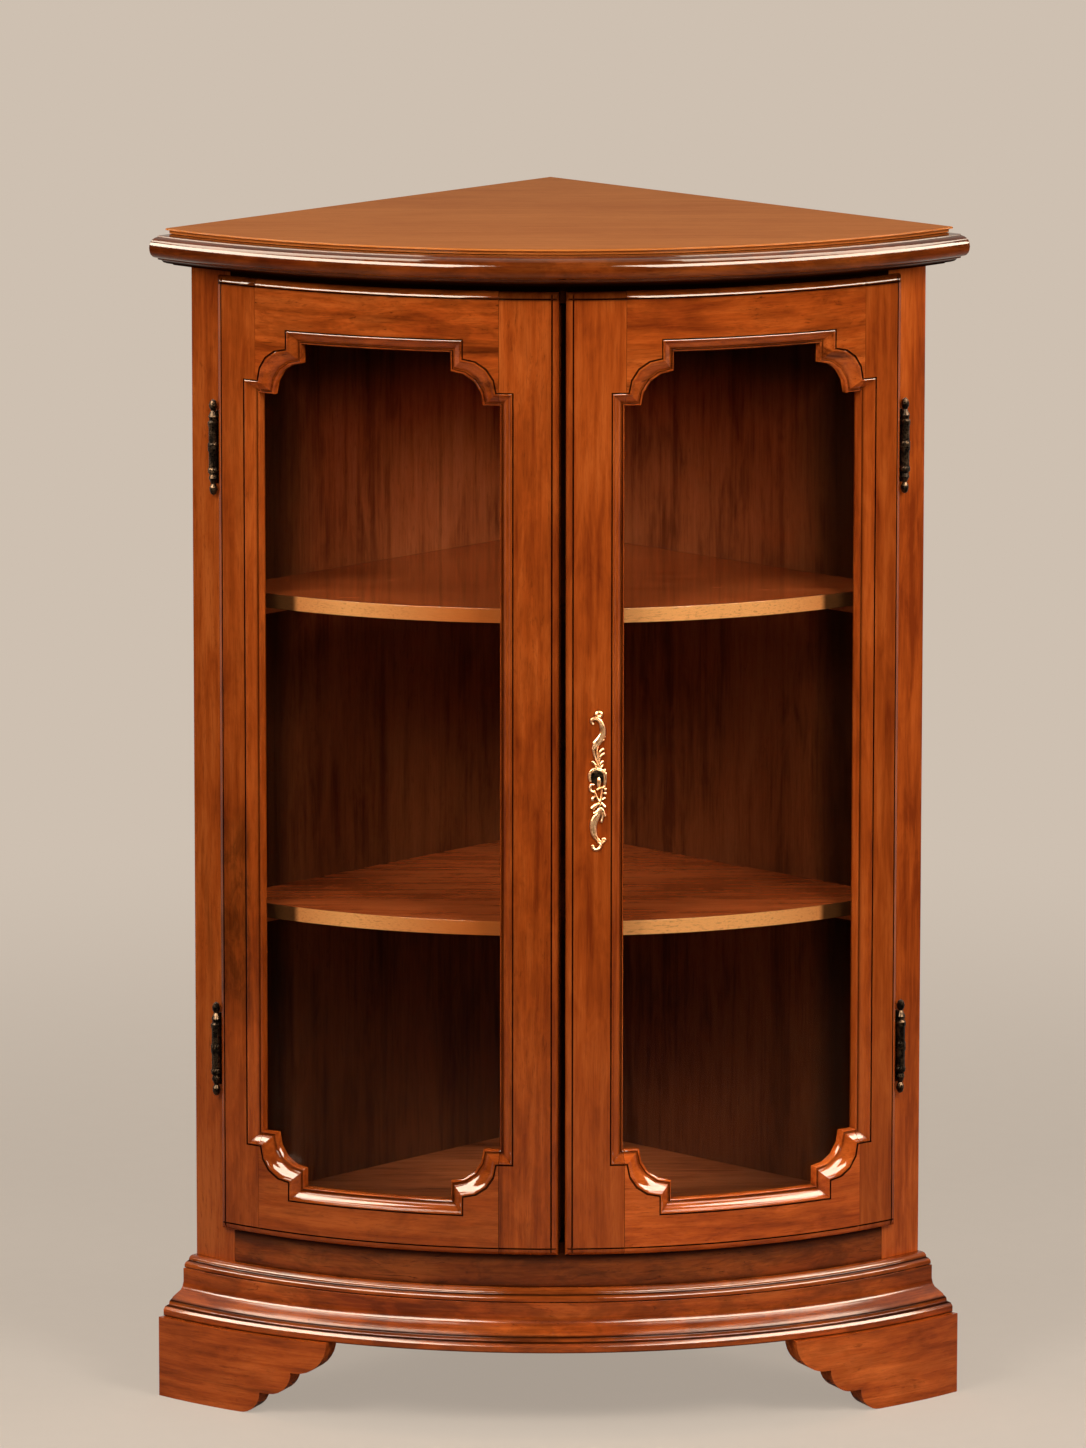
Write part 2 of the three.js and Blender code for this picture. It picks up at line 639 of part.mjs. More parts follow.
// Both doors in one piece, seen from the end: a lip outside the frame and a body inside the opening
function doorBlank() {
  const edge = edgeProfile();
  return toSolid(sweep([
    [DOOR_BACK, BODY_BOTTOM],
    [LIP_BACK, BODY_BOTTOM],
    [LIP_BACK, DOOR_BOTTOM],
    ...edge.map(([inset, depth]) => [DOOR_FACE - depth, DOOR_BOTTOM + inset]),
    ...edge.toReversed().map(([inset, depth]) => [DOOR_FACE - depth, DOOR_TOP - inset]),
    [LIP_BACK, DOOR_TOP],
    [LIP_BACK, BODY_TOP],
    [DOOR_BACK, BODY_TOP],
  ]));
}

const DOOR_MIDDLE = (LIGHT.low + LIGHT.high) / 2;
const WHOLE_DOOR = [DOOR_BOTTOM - CUT_OVERRUN, DOOR_TOP + CUT_OVERRUN];
const UPPER_HALF = [DOOR_MIDDLE, DOOR_TOP + CUT_OVERRUN];
const LOWER_HALF = [DOOR_BOTTOM - CUT_OVERRUN, DOOR_MIDDLE];

// Plans of the stiles and rails. They run past the door's face and back, which come from the blank.
function hingeStilePlan(side) {
  const joint = side * (HINGE_JOINT + SEAT_ANGLE / 2);
  const [corner] = edgeProfile().slice(-1);
  return [
    ...arc(DOOR_BACK - CUT_OVERRUN, joint, side * BODY_EDGE),
    polar(side * BODY_EDGE, LIP_BACK),
    polar(side * DOOR_EDGE, LIP_BACK),
    ...edgeProfile().map(([inset, depth]) => polar(side * (DOOR_EDGE - onFace(inset)), DOOR_FACE - depth)),
    ...arc(DOOR_FACE + CUT_OVERRUN, side * (DOOR_EDGE - onFace(corner[0])), joint),
  ];
}

// The meeting edges of both doors slant the same way, so that no light shows straight through their gap
function meetingStilePlan(side) {
  const joint = side * (MEETING_JOINT - SEAT_ANGLE / 2);
  const at = (x, radius) => new THREE.Vector2(x, -Math.sqrt(radius * radius - x * x));
  const deep = DOOR_THICKNESS + CUT_OVERRUN;
  const slant = Math.tan(THREE.MathUtils.degToRad(MEETING_BEVEL_DEG)) * (deep - EDGE_ROUND);
  const backX = side * DOOR_GAP / 2 + slant;
  const backAngle = THREE.MathUtils.radToDeg(Math.asin(backX / (DOOR_FACE - deep)));
  return [
    ...edgeProfile().map(([inset, depth]) => at(side * (DOOR_GAP / 2 + inset), DOOR_FACE - depth)),
    ...arc(DOOR_FACE + CUT_OVERRUN, side * onFace(DOOR_GAP / 2 + EDGE_ROUND + QUIRK_WIDTH), joint),
    ...arc(DOOR_FACE - deep, joint, backAngle),
  ];
}

function railPlan(side) {
  const from = side * (MEETING_JOINT + SEAT_ANGLE / 2);
  const to = side * (HINGE_JOINT - SEAT_ANGLE / 2);
  return [...arc(DOOR_FACE + CUT_OVERRUN, from, to), ...arc(DOOR_BACK - CUT_OVERRUN, to, from)];
}

// One corner of the light, from its upright side to its level side: a step, a quarter round and a step.
// Each point is given as its distances from the two sides.
function cornerPattern() {
  const across = CORNER_STEP_WIDE + CORNER_RADIUS;
  const up = CORNER_STEP_TALL + CORNER_RADIUS;
  return [
    [0, up],
    ...quarterTurns().map(([sine, cosine]) => [across - CORNER_RADIUS * cosine, up - CORNER_RADIUS * sine]),
    [across, 0],
  ];
}

// The light's outline, drawn in by an inset on every side, as angles and levels
function lightOutline(inset) {
  const near = LIGHT.near + onFace(inset);
  const far = LIGHT.far - onFace(inset);
  const low = LIGHT.low + inset;
  const high = LIGHT.high - inset;
  const count = Math.ceil((LIGHT.far - LIGHT.near) / BOW_STEP_DEG);
  const corner = (angle, level, inwards, up) => cornerPattern().map(([x, z]) => [
    angle + inwards * onFace(x),
    level + up * z,
  ]);
  const between = ([from, level], [to]) =>
    stepsBetween(from, to, count).slice(1, -1).map((angle) => [angle, level]);
  const lowNear = corner(near, low, 1, 1);
  const lowFar = corner(far, low, -1, 1).toReversed();
  const highFar = corner(far, high, -1, -1);
  const highNear = corner(near, high, 1, -1).toReversed();
  return [
    ...lowNear, ...between(lowNear.at(-1), lowFar[0]), ...lowFar,
    ...highFar, ...between(highFar.at(-1), highNear[0]), ...highNear,
  ];
}

// The solid that cuts the light and its moulding through a door
function lightCutter(side) {
  const stations = [
    [0, -CUT_OVERRUN],
    ...MOULDING_SHARES.map(([across, down]) => [across * MOULDING_WIDTH, down * MOULDING_DEPTH]),
    [MOULDING_WIDTH, DOOR_THICKNESS + CUT_OVERRUN],
  ];
  const rings = stations.map(([inset, depth]) => lightOutline(inset).map(([angle, level]) => {
    const place = polar(side * angle, DOOR_FACE - depth);
    return new THREE.Vector3(place.x, place.y, level);
  }));
  return toSolid(loft(rings, lightOutline(0).map(([angle, level]) => new THREE.Vector2(angle, level))));
}

function rebateCutter(side) {
  return toSolid(sector({
    inner: DOOR_BACK - CUT_OVERRUN,
    outer: DOOR_BACK + GLASS_REBATE,
    from: side * LIGHT.near,
    to: side * LIGHT.far,
    low: LIGHT.low,
    high: LIGHT.high,
  }));
}

// One bowed door: two stiles, two rails, a pane and the upright beads that hold it
function addDoor(name, side) {
  const blank = doorBlank();
  const cutters = [lightCutter(side), rebateCutter(side)];
  const piece = (plan, levels) => cut(blank.intersect(toSolid(raise(plan, ...levels))), ...cutters);
  const hingeStile = piece(hingeStilePlan(side), WHOLE_DOOR);
  const meetingStile = piece(meetingStilePlan(side), WHOLE_DOOR);
  add(`${name}_door_hinge_stile`, cut(hingeStile, ...leafPockets(side, doorLeaf)), frameWood);
  add(`${name}_door_meeting_stile`, side > 0 ? cut(meetingStile, keyBore()) : meetingStile, frameWood);
  add(`${name}_door_top_rail`, piece(railPlan(side), UPPER_HALF), frameWood);
  add(`${name}_door_bottom_rail`, piece(railPlan(side), LOWER_HALF), frameWood);

  const clear = onFace(GLASS_CLEARANCE);
  const levels = { low: LIGHT.low + GLASS_CLEARANCE, high: LIGHT.high - GLASS_CLEARANCE };
  const glassOuter = DOOR_BACK + GLASS_REBATE - SEAT_GAP;
  const glassInner = glassOuter - GLASS_THICKNESS;
  add(`${name}_door_glass`, sector({
    inner: glassInner,
    outer: glassOuter,
    from: side * (LIGHT.near + clear),
    to: side * (LIGHT.far - clear),
    ...levels,
  }), glass);
  const width = onFace(BEAD_WIDTH);
  for (const [edge, from] of [
    ['meeting', LIGHT.near + SEAT_ANGLE],
    ['hinge', LIGHT.far - SEAT_ANGLE - width],
  ]) {
    add(`${name}_door_${edge}_bead`, sector({
      inner: DOOR_BACK,
      outer: glassInner - SEAT_GAP,
      from: side * from,
      to: side * (from + width),
      ...levels,
    }), frameWood);
  }
}

// Hinges, built about the pin with X towards the middle of the door, Y outwards and Z up. A leaf is a plate
// given by where it starts, its bottom, its top and the end of its height, with the side it is let in from.
const hingeLevels = [
  ['upper', DOOR_TOP - UPPER_HINGE_FROM_TOP],
  ['lower', DOOR_BOTTOM + LOWER_HINGE_FROM_BOTTOM],
];
const POST_FACE = CASE_RADIUS - HINGE_CENTRE;
const postLeaf = {
  start: -LEAF_NECK,
  back: POST_FACE - SEAT_GAP / 2 - LEAF_THICKNESS,
  low: -LEAF_HEIGHT,
  openTowards: 1,
};
const doorLeaf = {
  start: 0,
  back: POST_FACE + LIP_CLEARANCE + SEAT_GAP,
  low: SEAT_GAP,
  openTowards: -1,
};

function placeAtHinge(geometry, side, level) {
  const place = polar(side * HINGE_ANGLE, HINGE_CENTRE);
  return toSolid(atAngle(geometry, side * HINGE_ANGLE).translate(place.x, place.y, level));
}

function leafPlate(side, { start, back, low }) {
  return box(
    [side * start, back, low],
    [side * LEAF_WIDTH, back + LEAF_THICKNESS, low + LEAF_HEIGHT - SEAT_GAP],
  );
}

function leafPockets(side, { start, back, low, openTowards }) {
  const bottom = back - (openTowards < 0 ? FUSE_DEPTH : SEAT_GAP);
  const top = back + LEAF_THICKNESS + (openTowards > 0 ? FUSE_DEPTH : SEAT_GAP);
  return hingeLevels.map(([, height]) => placeAtHinge(box(
    [side * (start - SEAT_GAP), bottom, low - SEAT_GAP],
    [side * (LEAF_WIDTH + SEAT_GAP), top, low + LEAF_HEIGHT],
  ), side, height));
}

// A knuckle turned with rings and a ball tip, bored from the middle joint for the pin
function knuckle(up) {
  const bore = (PIN_RADIUS + PIN_PLAY) / Math.cos(Math.PI / TURNED_SIDES);
  const depth = PIN_LENGTH / 2 + PIN_PLAY;
  const foot = SEAT_GAP / 2;
  const turned = new THREE.LatheGeometry([
    new THREE.Vector2(0, depth),
    new THREE.Vector2(bore, depth),
    new THREE.Vector2(bore, foot),
    ...KNUCKLE_SHARES.map(([out, along]) => new THREE.Vector2(
      out * HINGE_RADIUS,
      THREE.MathUtils.lerp(foot, HINGE_HEIGHT / 2, along),
    )),
  ], TURNED_SIDES);
  return turned.rotateX(up ? Math.PI / 2 : -Math.PI / 2);
}

function addHinges() {
  for (const [hand, side] of sides) {
    for (const [level, height] of hingeLevels) {
      const name = `${hand}_${level}_hinge`;
      const neck = box(
        [-LEAF_NECK / 2, postLeaf.back + LEAF_THICKNESS / 2, -LEAF_HEIGHT],
        [LEAF_NECK / 2, -PIN_RADIUS - 2 * PIN_PLAY, -SEAT_GAP],
      );
      const pieces = (...shapes) => join(...shapes.map((shape) => placeAtHinge(shape, side, height)));
      add(`${name}_post_leaf`, pieces(knuckle(false), neck, leafPlate(side, postLeaf)), bronze);
      add(`${name}_door_leaf`, pieces(knuckle(true), leafPlate(side, doorLeaf)), bronze);
      add(`${name}_pin`, pieces(uprightRod(PIN_RADIUS, PIN_LENGTH, TURNED_SIDES)), steel);
    }
  }
}

// Lock and escutcheon, built about the keyhole with X towards the left door, Y outwards and Z up
const placeAtLock = (geometry) => toSolid(atAngle(geometry, LOCK_ANGLE).translate(0, 0, LOCK_HEIGHT));
const LOCK_SEAT = seatUnder(DOOR_BACK, LOCK_CASE_REACH);
const BOLT_BACK = LOCK_SEAT - LOCK_CASE_DEPTH + LOCK_CASE_WALL + SLIDE_PLAY;

function keyBore() {
  const deep = LOCK_SEAT - KEYHOLE_DEPTH;
  const past = DOOR_FACE + CUT_OVERRUN;
  const bore = new THREE.CylinderGeometry(KEYHOLE_RADIUS, KEYHOLE_RADIUS, past - deep, BORE_SIDES);
  return placeAtLock(bore.translate(0, (past + deep) / 2, 0));
}

// The lock bolt, or with some play the slot it slides in
function boltBlock(reach, play) {
  const tip = LOCK_CASE_REACH - LOCK_BOLT_RECESS;
  const half = LOCK_BOLT_HEIGHT / 2 + play;
  return placeAtLock(box(
    [tip - LOCK_BOLT_LENGTH - play, BOLT_BACK - play, LOCK_BOLT_RISE - half],
    [tip + reach, BOLT_BACK + LOCK_BOLT_DEPTH + play, LOCK_BOLT_RISE + half],
  ));
}

function addLock() {
  const caseBlock = placeAtLock(box(
    [LOCK_CASE_REACH - LOCK_CASE_WIDTH, LOCK_SEAT - LOCK_CASE_DEPTH, -LOCK_CASE_DROP],
    [LOCK_CASE_REACH, LOCK_SEAT, LOCK_CASE_HEIGHT - LOCK_CASE_DROP],
  ));
  add('lock_case', cut(caseBlock, keyBore(), boltBlock(CUT_OVERRUN, SLIDE_PLAY)), brass);
  add('lock_bolt', boltBlock(0, 0), steel);
  const start = LOCK_CASE_REACH + KEEPER_FROM_CASE;
  const keeperBlock = placeAtLock(box(
    [start, BOLT_BACK - SLIDE_PLAY - KEEPER_WALL, LOCK_BOLT_RISE - KEEPER_HEIGHT / 2],
    [start + KEEPER_WIDTH, seatUnder(DOOR_BACK, start + KEEPER_WIDTH), LOCK_BOLT_RISE + KEEPER_HEIGHT / 2],
  ));
  const pocket = boltBlock(start + KEEPER_WIDTH - KEEPER_WALL - LOCK_CASE_REACH, SLIDE_PLAY);
  add('lock_keeper', cut(keeperBlock, pocket), brass);
}

// A tapering ribbon along a smooth line, or an oval, drawn across and up
function ribbon(points) {
  const curve = new THREE.CatmullRomCurve3(points.map((shares) =>
    new THREE.Vector3(...shares).multiplyScalar(ESCUTCHEON_HEIGHT)));
  const line = curve.getPoints(points.length - 1);
  const edge = (sign) => line.map((point, i) => {
    const ahead = line[Math.min(i + 1, line.length - 1)];
    const behind = line[Math.max(i - 1, 0)];
    const way = new THREE.Vector2(ahead.x - behind.x, ahead.y - behind.y).normalize();
    return new THREE.Vector2(point.x - sign * way.y * point.z, point.y + sign * way.x * point.z);
  });
  return new THREE.Shape([...edge(1), ...edge(-1).toReversed()]);
}

function oval(shares) {
  const [x, z, halfWidth, halfHeight] = shares.map((share) => share * ESCUTCHEON_HEIGHT);
  const outline = stepsBetween(0, 2 * Math.PI, BORE_SIDES).slice(1).map((turn) => new THREE.Vector2(
    x + halfWidth * Math.cos(turn),
    z + halfHeight * Math.sin(turn),
  ));
  return new THREE.Shape(outline);
}

function addEscutcheon() {
  const seat = DOOR_FACE + SEAT_GAP;
  const layer = (shape, from, to) => placeAtLock(standUp(shape, to - from, 1).translate(0, from, 0));
  const full = (shape) => layer(shape, seat, seat + ESCUTCHEON_THICKNESS);
  const scrolls = [...SCROLL_SHARES, ...LEAF_SHARES].map((points) => full(ribbon(points)));
  const bosses = BOSS_SHARES.map((shares) => full(oval(shares)));
  const plate = join(full(oval(OVAL_SHARES)), ...scrolls, ...bosses);
  const dish = layer(oval(OVAL_BORE_SHARES), seat + ESCUTCHEON_BACKING, seat + CUT_OVERRUN);
  add('escutcheon', cut(plate, dish, keyBore()), brass);
}

// Slide bolts behind the left door's meeting stile, with X across, Y outwards and Z towards the rail
function addSlideBolts() {
  const boreRadius = ROD_RADIUS + SLIDE_PLAY;
  const half = boreRadius + GUIDE_WALL;
  for (const [name, level, up] of [['upper', OPENING_TOP, 1], ['lower', OPENING_BOTTOM, -1]]) {
    const place = (geometry) => toSolid(
      atAngle(geometry.scale(1, 1, up), ROD_ANGLE).translate(0, 0, level - up * ROD_END_CLEARANCE),
    );
    const rod = uprightRod(ROD_RADIUS, ROD_LENGTH, TURNED_SIDES).translate(0, ROD_CENTRE, -ROD_LENGTH / 2);
    const knob = new THREE.CylinderGeometry(KNOB_RADIUS, KNOB_RADIUS, KNOB_REACH, TURNED_SIDES);
    knob.translate(0, ROD_CENTRE - KNOB_REACH / 2, KNOB_FROM_END - ROD_LENGTH);
    add(`${name}_bolt`, join(place(rod), place(knob)), steel);
    const guide = box(
      [-GUIDE_WIDTH / 2, ROD_CENTRE - half, -ROD_PAST_GUIDE - GUIDE_HEIGHT],
      [GUIDE_WIDTH / 2, seatUnder(DOOR_BACK, GUIDE_WIDTH / 2), -ROD_PAST_GUIDE],
    );
    const bore = uprightRod(boreRadius, ROD_LENGTH, BORE_SIDES).translate(0, ROD_CENTRE, -ROD_LENGTH / 2);
    add(`${name}_bolt_guide`, cut(place(guide), place(bore)), brass);
  }
}

addTop();
addFrame();
addShelves();
addBase();
for (const [name, side] of sides) {
  addDoor(name, side);
}
addHinges();
addLock();
addEscutcheon();
addSlideBolts();

// The origin moves from the room corner to the floor under the middle of the cabinet
const middle = new THREE.Box3().setFromObject(cabinet).getCenter(new THREE.Vector3());
cabinet.traverse((part) => {
  if (part.isMesh) {
    part.geometry.translate(-middle.x, -middle.y, 0);
  }
});

export default cabinet;
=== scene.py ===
import math

import bpy
from mathutils import Matrix, Vector


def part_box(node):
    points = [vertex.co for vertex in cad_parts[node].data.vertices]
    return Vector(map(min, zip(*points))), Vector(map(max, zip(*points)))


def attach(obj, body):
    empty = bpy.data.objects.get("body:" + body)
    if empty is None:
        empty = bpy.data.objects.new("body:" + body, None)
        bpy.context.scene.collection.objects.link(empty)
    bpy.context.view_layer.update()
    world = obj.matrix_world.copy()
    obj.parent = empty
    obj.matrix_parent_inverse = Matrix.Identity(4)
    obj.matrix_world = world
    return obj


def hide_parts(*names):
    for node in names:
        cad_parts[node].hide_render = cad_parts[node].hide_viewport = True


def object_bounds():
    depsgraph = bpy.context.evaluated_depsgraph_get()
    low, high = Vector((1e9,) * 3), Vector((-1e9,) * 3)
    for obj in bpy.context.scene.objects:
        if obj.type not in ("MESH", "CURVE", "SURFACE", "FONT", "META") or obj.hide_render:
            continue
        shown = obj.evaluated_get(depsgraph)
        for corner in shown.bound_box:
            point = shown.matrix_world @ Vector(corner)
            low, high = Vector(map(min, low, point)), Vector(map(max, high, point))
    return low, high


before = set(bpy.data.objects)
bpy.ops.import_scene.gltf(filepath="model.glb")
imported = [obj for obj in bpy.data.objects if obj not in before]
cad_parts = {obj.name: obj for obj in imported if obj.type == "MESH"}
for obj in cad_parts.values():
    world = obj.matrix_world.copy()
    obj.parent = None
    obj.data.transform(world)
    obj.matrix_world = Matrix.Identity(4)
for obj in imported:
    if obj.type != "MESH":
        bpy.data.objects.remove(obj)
cad_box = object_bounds()

# Sizes in metres, colours linear, angles in degrees unless a comment says otherwise

CORNER_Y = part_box("top_board")[1].y
SHELF_RADIUS = CORNER_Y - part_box("upper_shelf")[0].y
SHELF_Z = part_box("upper_shelf")[0].z
DOOR_RADIUS = CORNER_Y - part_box("left_door_meeting_stile")[0].y
CORNICE_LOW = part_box("cornice_moulding")[0].z
BASE_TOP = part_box("base_bead_moulding")[1].z
BASE_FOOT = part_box("base_cove_moulding")[0].z
DOOR_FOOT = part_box("left_door_meeting_stile")[0].z
DOOR_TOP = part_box("left_door_meeting_stile")[1].z

EDGE_ROUND = 0.0006
METAL_ROUND = 0.0003
EDGE_ANGLE = 28.0
SMOOTH_ANGLE = 34.0
WELD_DISTANCE = 2e-6
FLAT_ANGLE = 0.4

BACKDROP = (0.617, 0.527, 0.440)
FLOOR_GLOW = 0.625
FLOOR_LIT = 0.395
FLOOR_NEAR = 0.9
FLOOR_FAR = 2.6
FLOOR_SIZE = 60.0
FLOOR_DROP = 0.0002
FLOOR_PLAIN = 0.6
TOOTH = (40.0, 3.0, 0.5)
TOOTH_SPAN = (0.2, 0.8, 0.0, 0.03)
DIM = 0.03
DIM_FLOOR_SPAN = (0.0, 0.8)
DIM_WORLD_SPAN = (-0.05, 0.30)
AMBIENT = 0.15
AMBIENT_COLOUR = (1.0, 0.95, 0.90)
LAMP_COLOUR = (1.0, 0.97, 0.93)
SHINE_COLOUR = (1.0, 0.85, 0.66)

TARGET = Vector((0.0, 0.0, 0.62))

# Lamps: azimuth, elevation, distance, width, height, radiance, whether it lights the object, and whether it
# shines in its polish
LAMPS = {
    "left_key": (-36.0, 31.0, 2.5, 0.9, 0.9, 13.0, True, False),
    "right_key": (36.0, 31.0, 2.5, 0.9, 0.9, 14.5, True, False),
    "left_rim": (-80.0, 25.0, 2.6, 0.8, 1.4, 3.2, True, False),
    "right_rim": (80.0, 25.0, 2.6, 0.8, 1.4, 3.2, True, False),
    "back_fill": (180.0, 38.0, 4.0, 2.4, 1.6, 1.8, True, False),
    "front_fill": (-8.0, 30.0, 4.5, 2.6, 1.6, 1.5, True, False),
    "left_panel": (-57.0, 36.0, 2.8, 3.7, 1.3, 30.0, False, True),
    "right_panel": (56.0, 36.0, 2.8, 3.7, 1.3, 30.0, False, True),
    "left_overhead": (-104.0, 62.0, 2.7, 1.5, 1.5, 13.0, False, True),
    "right_overhead": (104.0, 62.0, 2.7, 1.5, 1.5, 13.0, False, True),
}

# The camera fitted to the photograph, turned instead of shifted
# Its angles are in radians, its lens and sensor in millimetres
CAMERA_YAW, CAMERA_PITCH, CAMERA_ROLL = -0.02253, 0.18397, 0.00094
CAMERA_PLACE = (-0.218, -9.11373, 2.31453)
CAMERA_LENS = 246.075
CAMERA_SENSOR = 36.0


class Tree:
    """The node tree of a material or a world, built by calls that return sockets."""

    def __init__(self, owner):
        self.owner = owner
        owner.use_nodes = True
        self.nodes = owner.node_tree.nodes
        self.links = owner.node_tree.links
        self.nodes.clear()

    def feed(self, socket, value):
        if isinstance(value, bpy.types.NodeSocket):
            self.links.new(value, socket)
        elif socket.type == "RGBA" and len(value) == 3:
            socket.default_value = (*value, 1.0)
        else:
            socket.default_value = value

    def add(self, kind, inputs=None, output=0, **settings):
        node = self.nodes.new(kind)
        for key, value in settings.items():
            setattr(node, key, value)
        for key, value in (inputs or {}).items():
            self.feed(node.inputs[key], value)
        return node.outputs[output]

    def math(self, operation, *values):
        return self.add("ShaderNodeMath", dict(enumerate(values)), operation=operation)

    def vector(self, operation, *values):
        return self.add("ShaderNodeVectorMath", dict(enumerate(values)), operation=operation)

    def combine(self, x, y, z):
        return self.add("ShaderNodeCombineXYZ", {0: x, 1: y, 2: z})

    def split(self, vector):
        node = self.nodes.new("ShaderNodeSeparateXYZ")
        self.links.new(vector, node.inputs[0])
        return node.outputs

    def noise(self, vector, scale, detail, roughness, distortion=0.0, output="Factor"):
        node = self.nodes.new("ShaderNodeTexNoise")
        self.links.new(vector, node.inputs["Vector"])
        node.inputs["Scale"].default_value = scale
        node.inputs["Detail"].default_value = detail
        node.inputs["Roughness"].default_value = roughness
        node.inputs["Distortion"].default_value = distortion
        return node.outputs[0] if output == "Factor" else node.outputs["Color"]

    def ramp(self, factor, places, colours):
        node = self.nodes.new("ShaderNodeValToRGB")
        elements = node.color_ramp.elements
        while len(elements) < len(places):
            elements.new(0.5)
        for element, place, colour in zip(elements, places, colours):
            element.position = place
            element.color = (*colour, 1.0)
        self.links.new(factor, node.inputs[0])
        return node.outputs[0]

    def span(self, factor, low, high, to_low=0.0, to_high=1.0):
        """A smooth step from one value to another where the factor goes from low to high."""
        return self.add(
            "ShaderNodeMapRange",
            {"Value": factor, "From Min": low, "From Max": high, "To Min": to_low, "To Max": to_high},
            interpolation_type="SMOOTHSTEP",
        )

    def mix(self, factor, a, b):
        node = self.nodes.new("ShaderNodeMix")
        node.data_type = "RGBA"
        self.feed(node.inputs[0], factor)
        self.feed(node.inputs[6], a)
        self.feed(node.inputs[7], b)
        return node.outputs[2]

    def recess(self, reach, alone):
        """0 deep in a crease and 1 on open ground; alone where only the piece itself can shade it."""
        settings = {"samples": RECESS_SAMPLES, "only_local": alone}
        return self.add("ShaderNodeAmbientOcclusion", {"Distance": reach}, output="AO", **settings)

    def surface(self, shader, kind="ShaderNodeOutputMaterial"):
        out = self.nodes.new(kind)
        self.links.new(shader, out.inputs["Surface"])
        return self.owner


# Wood

GRAIN_SQUEEZE = 0.05
FLECK_SQUEEZE = 0.22
SWAY = 0.03
BOW_RADIUS = 0.5
SEED_STEP = (0.37, 0.71, 1.13)
CLOUD_STEP = (0.5, 0.0, 0.3)
WOOD_COLOURS = {
    "door": ((0.140, 0.0192, 0.0027), (0.265, 0.0455, 0.0054), (0.364, 0.0745, 0.0110)),
    "case": ((0.130, 0.0185, 0.0027), (0.260, 0.0460, 0.0057), (0.357, 0.0775, 0.0122)),
    # The top board's colours are painted lighter, for the light from above and the sheen of its polish
    "top": ((0.452, 0.1230, 0.0205), (0.510, 0.1510, 0.0275), (0.565, 0.1730, 0.0350)),
    "inside": ((0.172, 0.0360, 0.0100), (0.365, 0.0920, 0.0245), (0.460, 0.1270, 0.0370)),
    "shelf": ((0.240, 0.0350, 0.0060), (0.400, 0.0740, 0.0150), (0.500, 0.1080, 0.0250)),
    "raw": ((0.160, 0.0450, 0.0130), (0.300, 0.1050, 0.0360), (0.400, 0.1600, 0.0650)),
}
# Near-black that the glaze and all the painted shade and shadows are mixed towards
GLAZE_AND_SHADE = (0.0060, 0.0016, 0.0004)
SMUDGE = (0.072, 0.0105, 0.0016)
PALE_EDGE = (0.80, 0.345, 0.107)
# Painted shade on the shelves' pale front edges
EDGE_PAINTED_SHADE = (0.46, 0.105, 0.017)
EDGE_DEPTH = 0.0012
RECESS_REACH = 0.008
RECESS_SAMPLES = 8
WOOD_ROUGHNESS = 0.5
COAT_IOR = 1.42
COAT_ROUGHNESS = 0.06
HAZE = {"base_cove_moulding_wood": 0.15, "base_bead_moulding_wood": 0.09}

# Noises that make the figure: scale, detail, roughness, distortion
LONG_SWAY = (6.0, 2.0, 0.5)
SHORT_SWAY = (14.0, 3.0, 0.6)
SLOW = (18.0, 3.0, 0.55)
BANDS = (130.0, 4.0, 0.7, 0.3)
STREAKS = (640.0, 3.0, 0.7)
PORES = (1300.0, 2.0, 0.6)
SMEARS = (34.0, 4.0, 0.6, 0.5)
FLECKS = (260.0, 5.0, 0.75, 0.4)
CURLS = (60.0, 4.0, 0.65, 0.8)
CLOUDS = (9.0, 3.0, 0.5)
PATCHES = (24.0, 4.0, 0.65, 0.6)
SWELL = (55.0, 2.0, 0.5)

# How the noises make the colour: their shares in the figure, then where each mark starts and is whole
SLOW_SHARE, BANDS_SHARE, CLOUDS_SHARE, CURLS_SHARE = 0.25, 0.30, 0.20, 0.25
FIGURE_STOPS = (0.40, 0.50, 0.60)
BARE_STOPS = (0.38, 0.50, 0.62)
STREAK_SPAN = (0.50, 0.72)
PORE_SPAN = (0.60, 0.72)
FLECK_SPAN = (0.56, 0.68)
FLECK_CLOUDS = (0.4, 0.6, 0.25, 1.0)
SMEAR_SPAN = (0.56, 0.72)
SMEAR_STREAKS = (0.2, 0.6, 0.55, 1.0)
PATCH_SPAN = (0.38, 0.62, 0.0)
DULLED = (0.45, 0.90)
STREAK_STRENGTH, PORE_STRENGTH, FLECK_STRENGTH, SMEAR_STRENGTH = 0.45, 0.40, 0.45, 0.62
BARE_STREAK = 0.4
EDGE_WEAR = 0.6
SWELL_STRENGTH = 0.10
SWELL_HEIGHT = 0.0012

# Stains, glaze, painted shade and painted shadows: where they start and end, and how strong they are at the start
# and at the end
GAP_HALF = 0.016
WALL_MIDDLE = 0.006
# Black glaze and painted shade in quirks, creases and gaps, by how hemmed in the surface is
IN_QUIRKS = (0.30, 0.94, 0.97, 0.0)
# Painted shade in the door gap and above and below the doors, painted shadow of the cornice on the doors' top
# edge, and glaze and shade under the cornice
BEHIND_FACE = (DOOR_RADIUS - 0.0060, DOOR_RADIUS - 0.0035, 0.60, 0.0)
DOOR_LIP = (DOOR_TOP - 0.0095, DOOR_TOP - 0.0075, 0.0)
UNDER_CORNICE = (CORNICE_LOW + 0.005, CORNICE_LOW + 0.013, 0.96, 0.0)
BETWEEN_DOORS = (0.0045, 0.0060, 0.88, 0.0)
ABOVE_DOORS = (DOOR_TOP - 0.003, DOOR_TOP, 0.0, 0.94)
BELOW_DOORS = (DOOR_FOOT - 0.018, DOOR_FOOT, 0.0, 0.80)
FOOT_MARGIN = 0.001
# Painted shade on the bottom rail around the middle of the front
BASE_MIDDLE = -0.04
BASE_ASIDE = (0.06, 0.26, 0.34, 0.0)
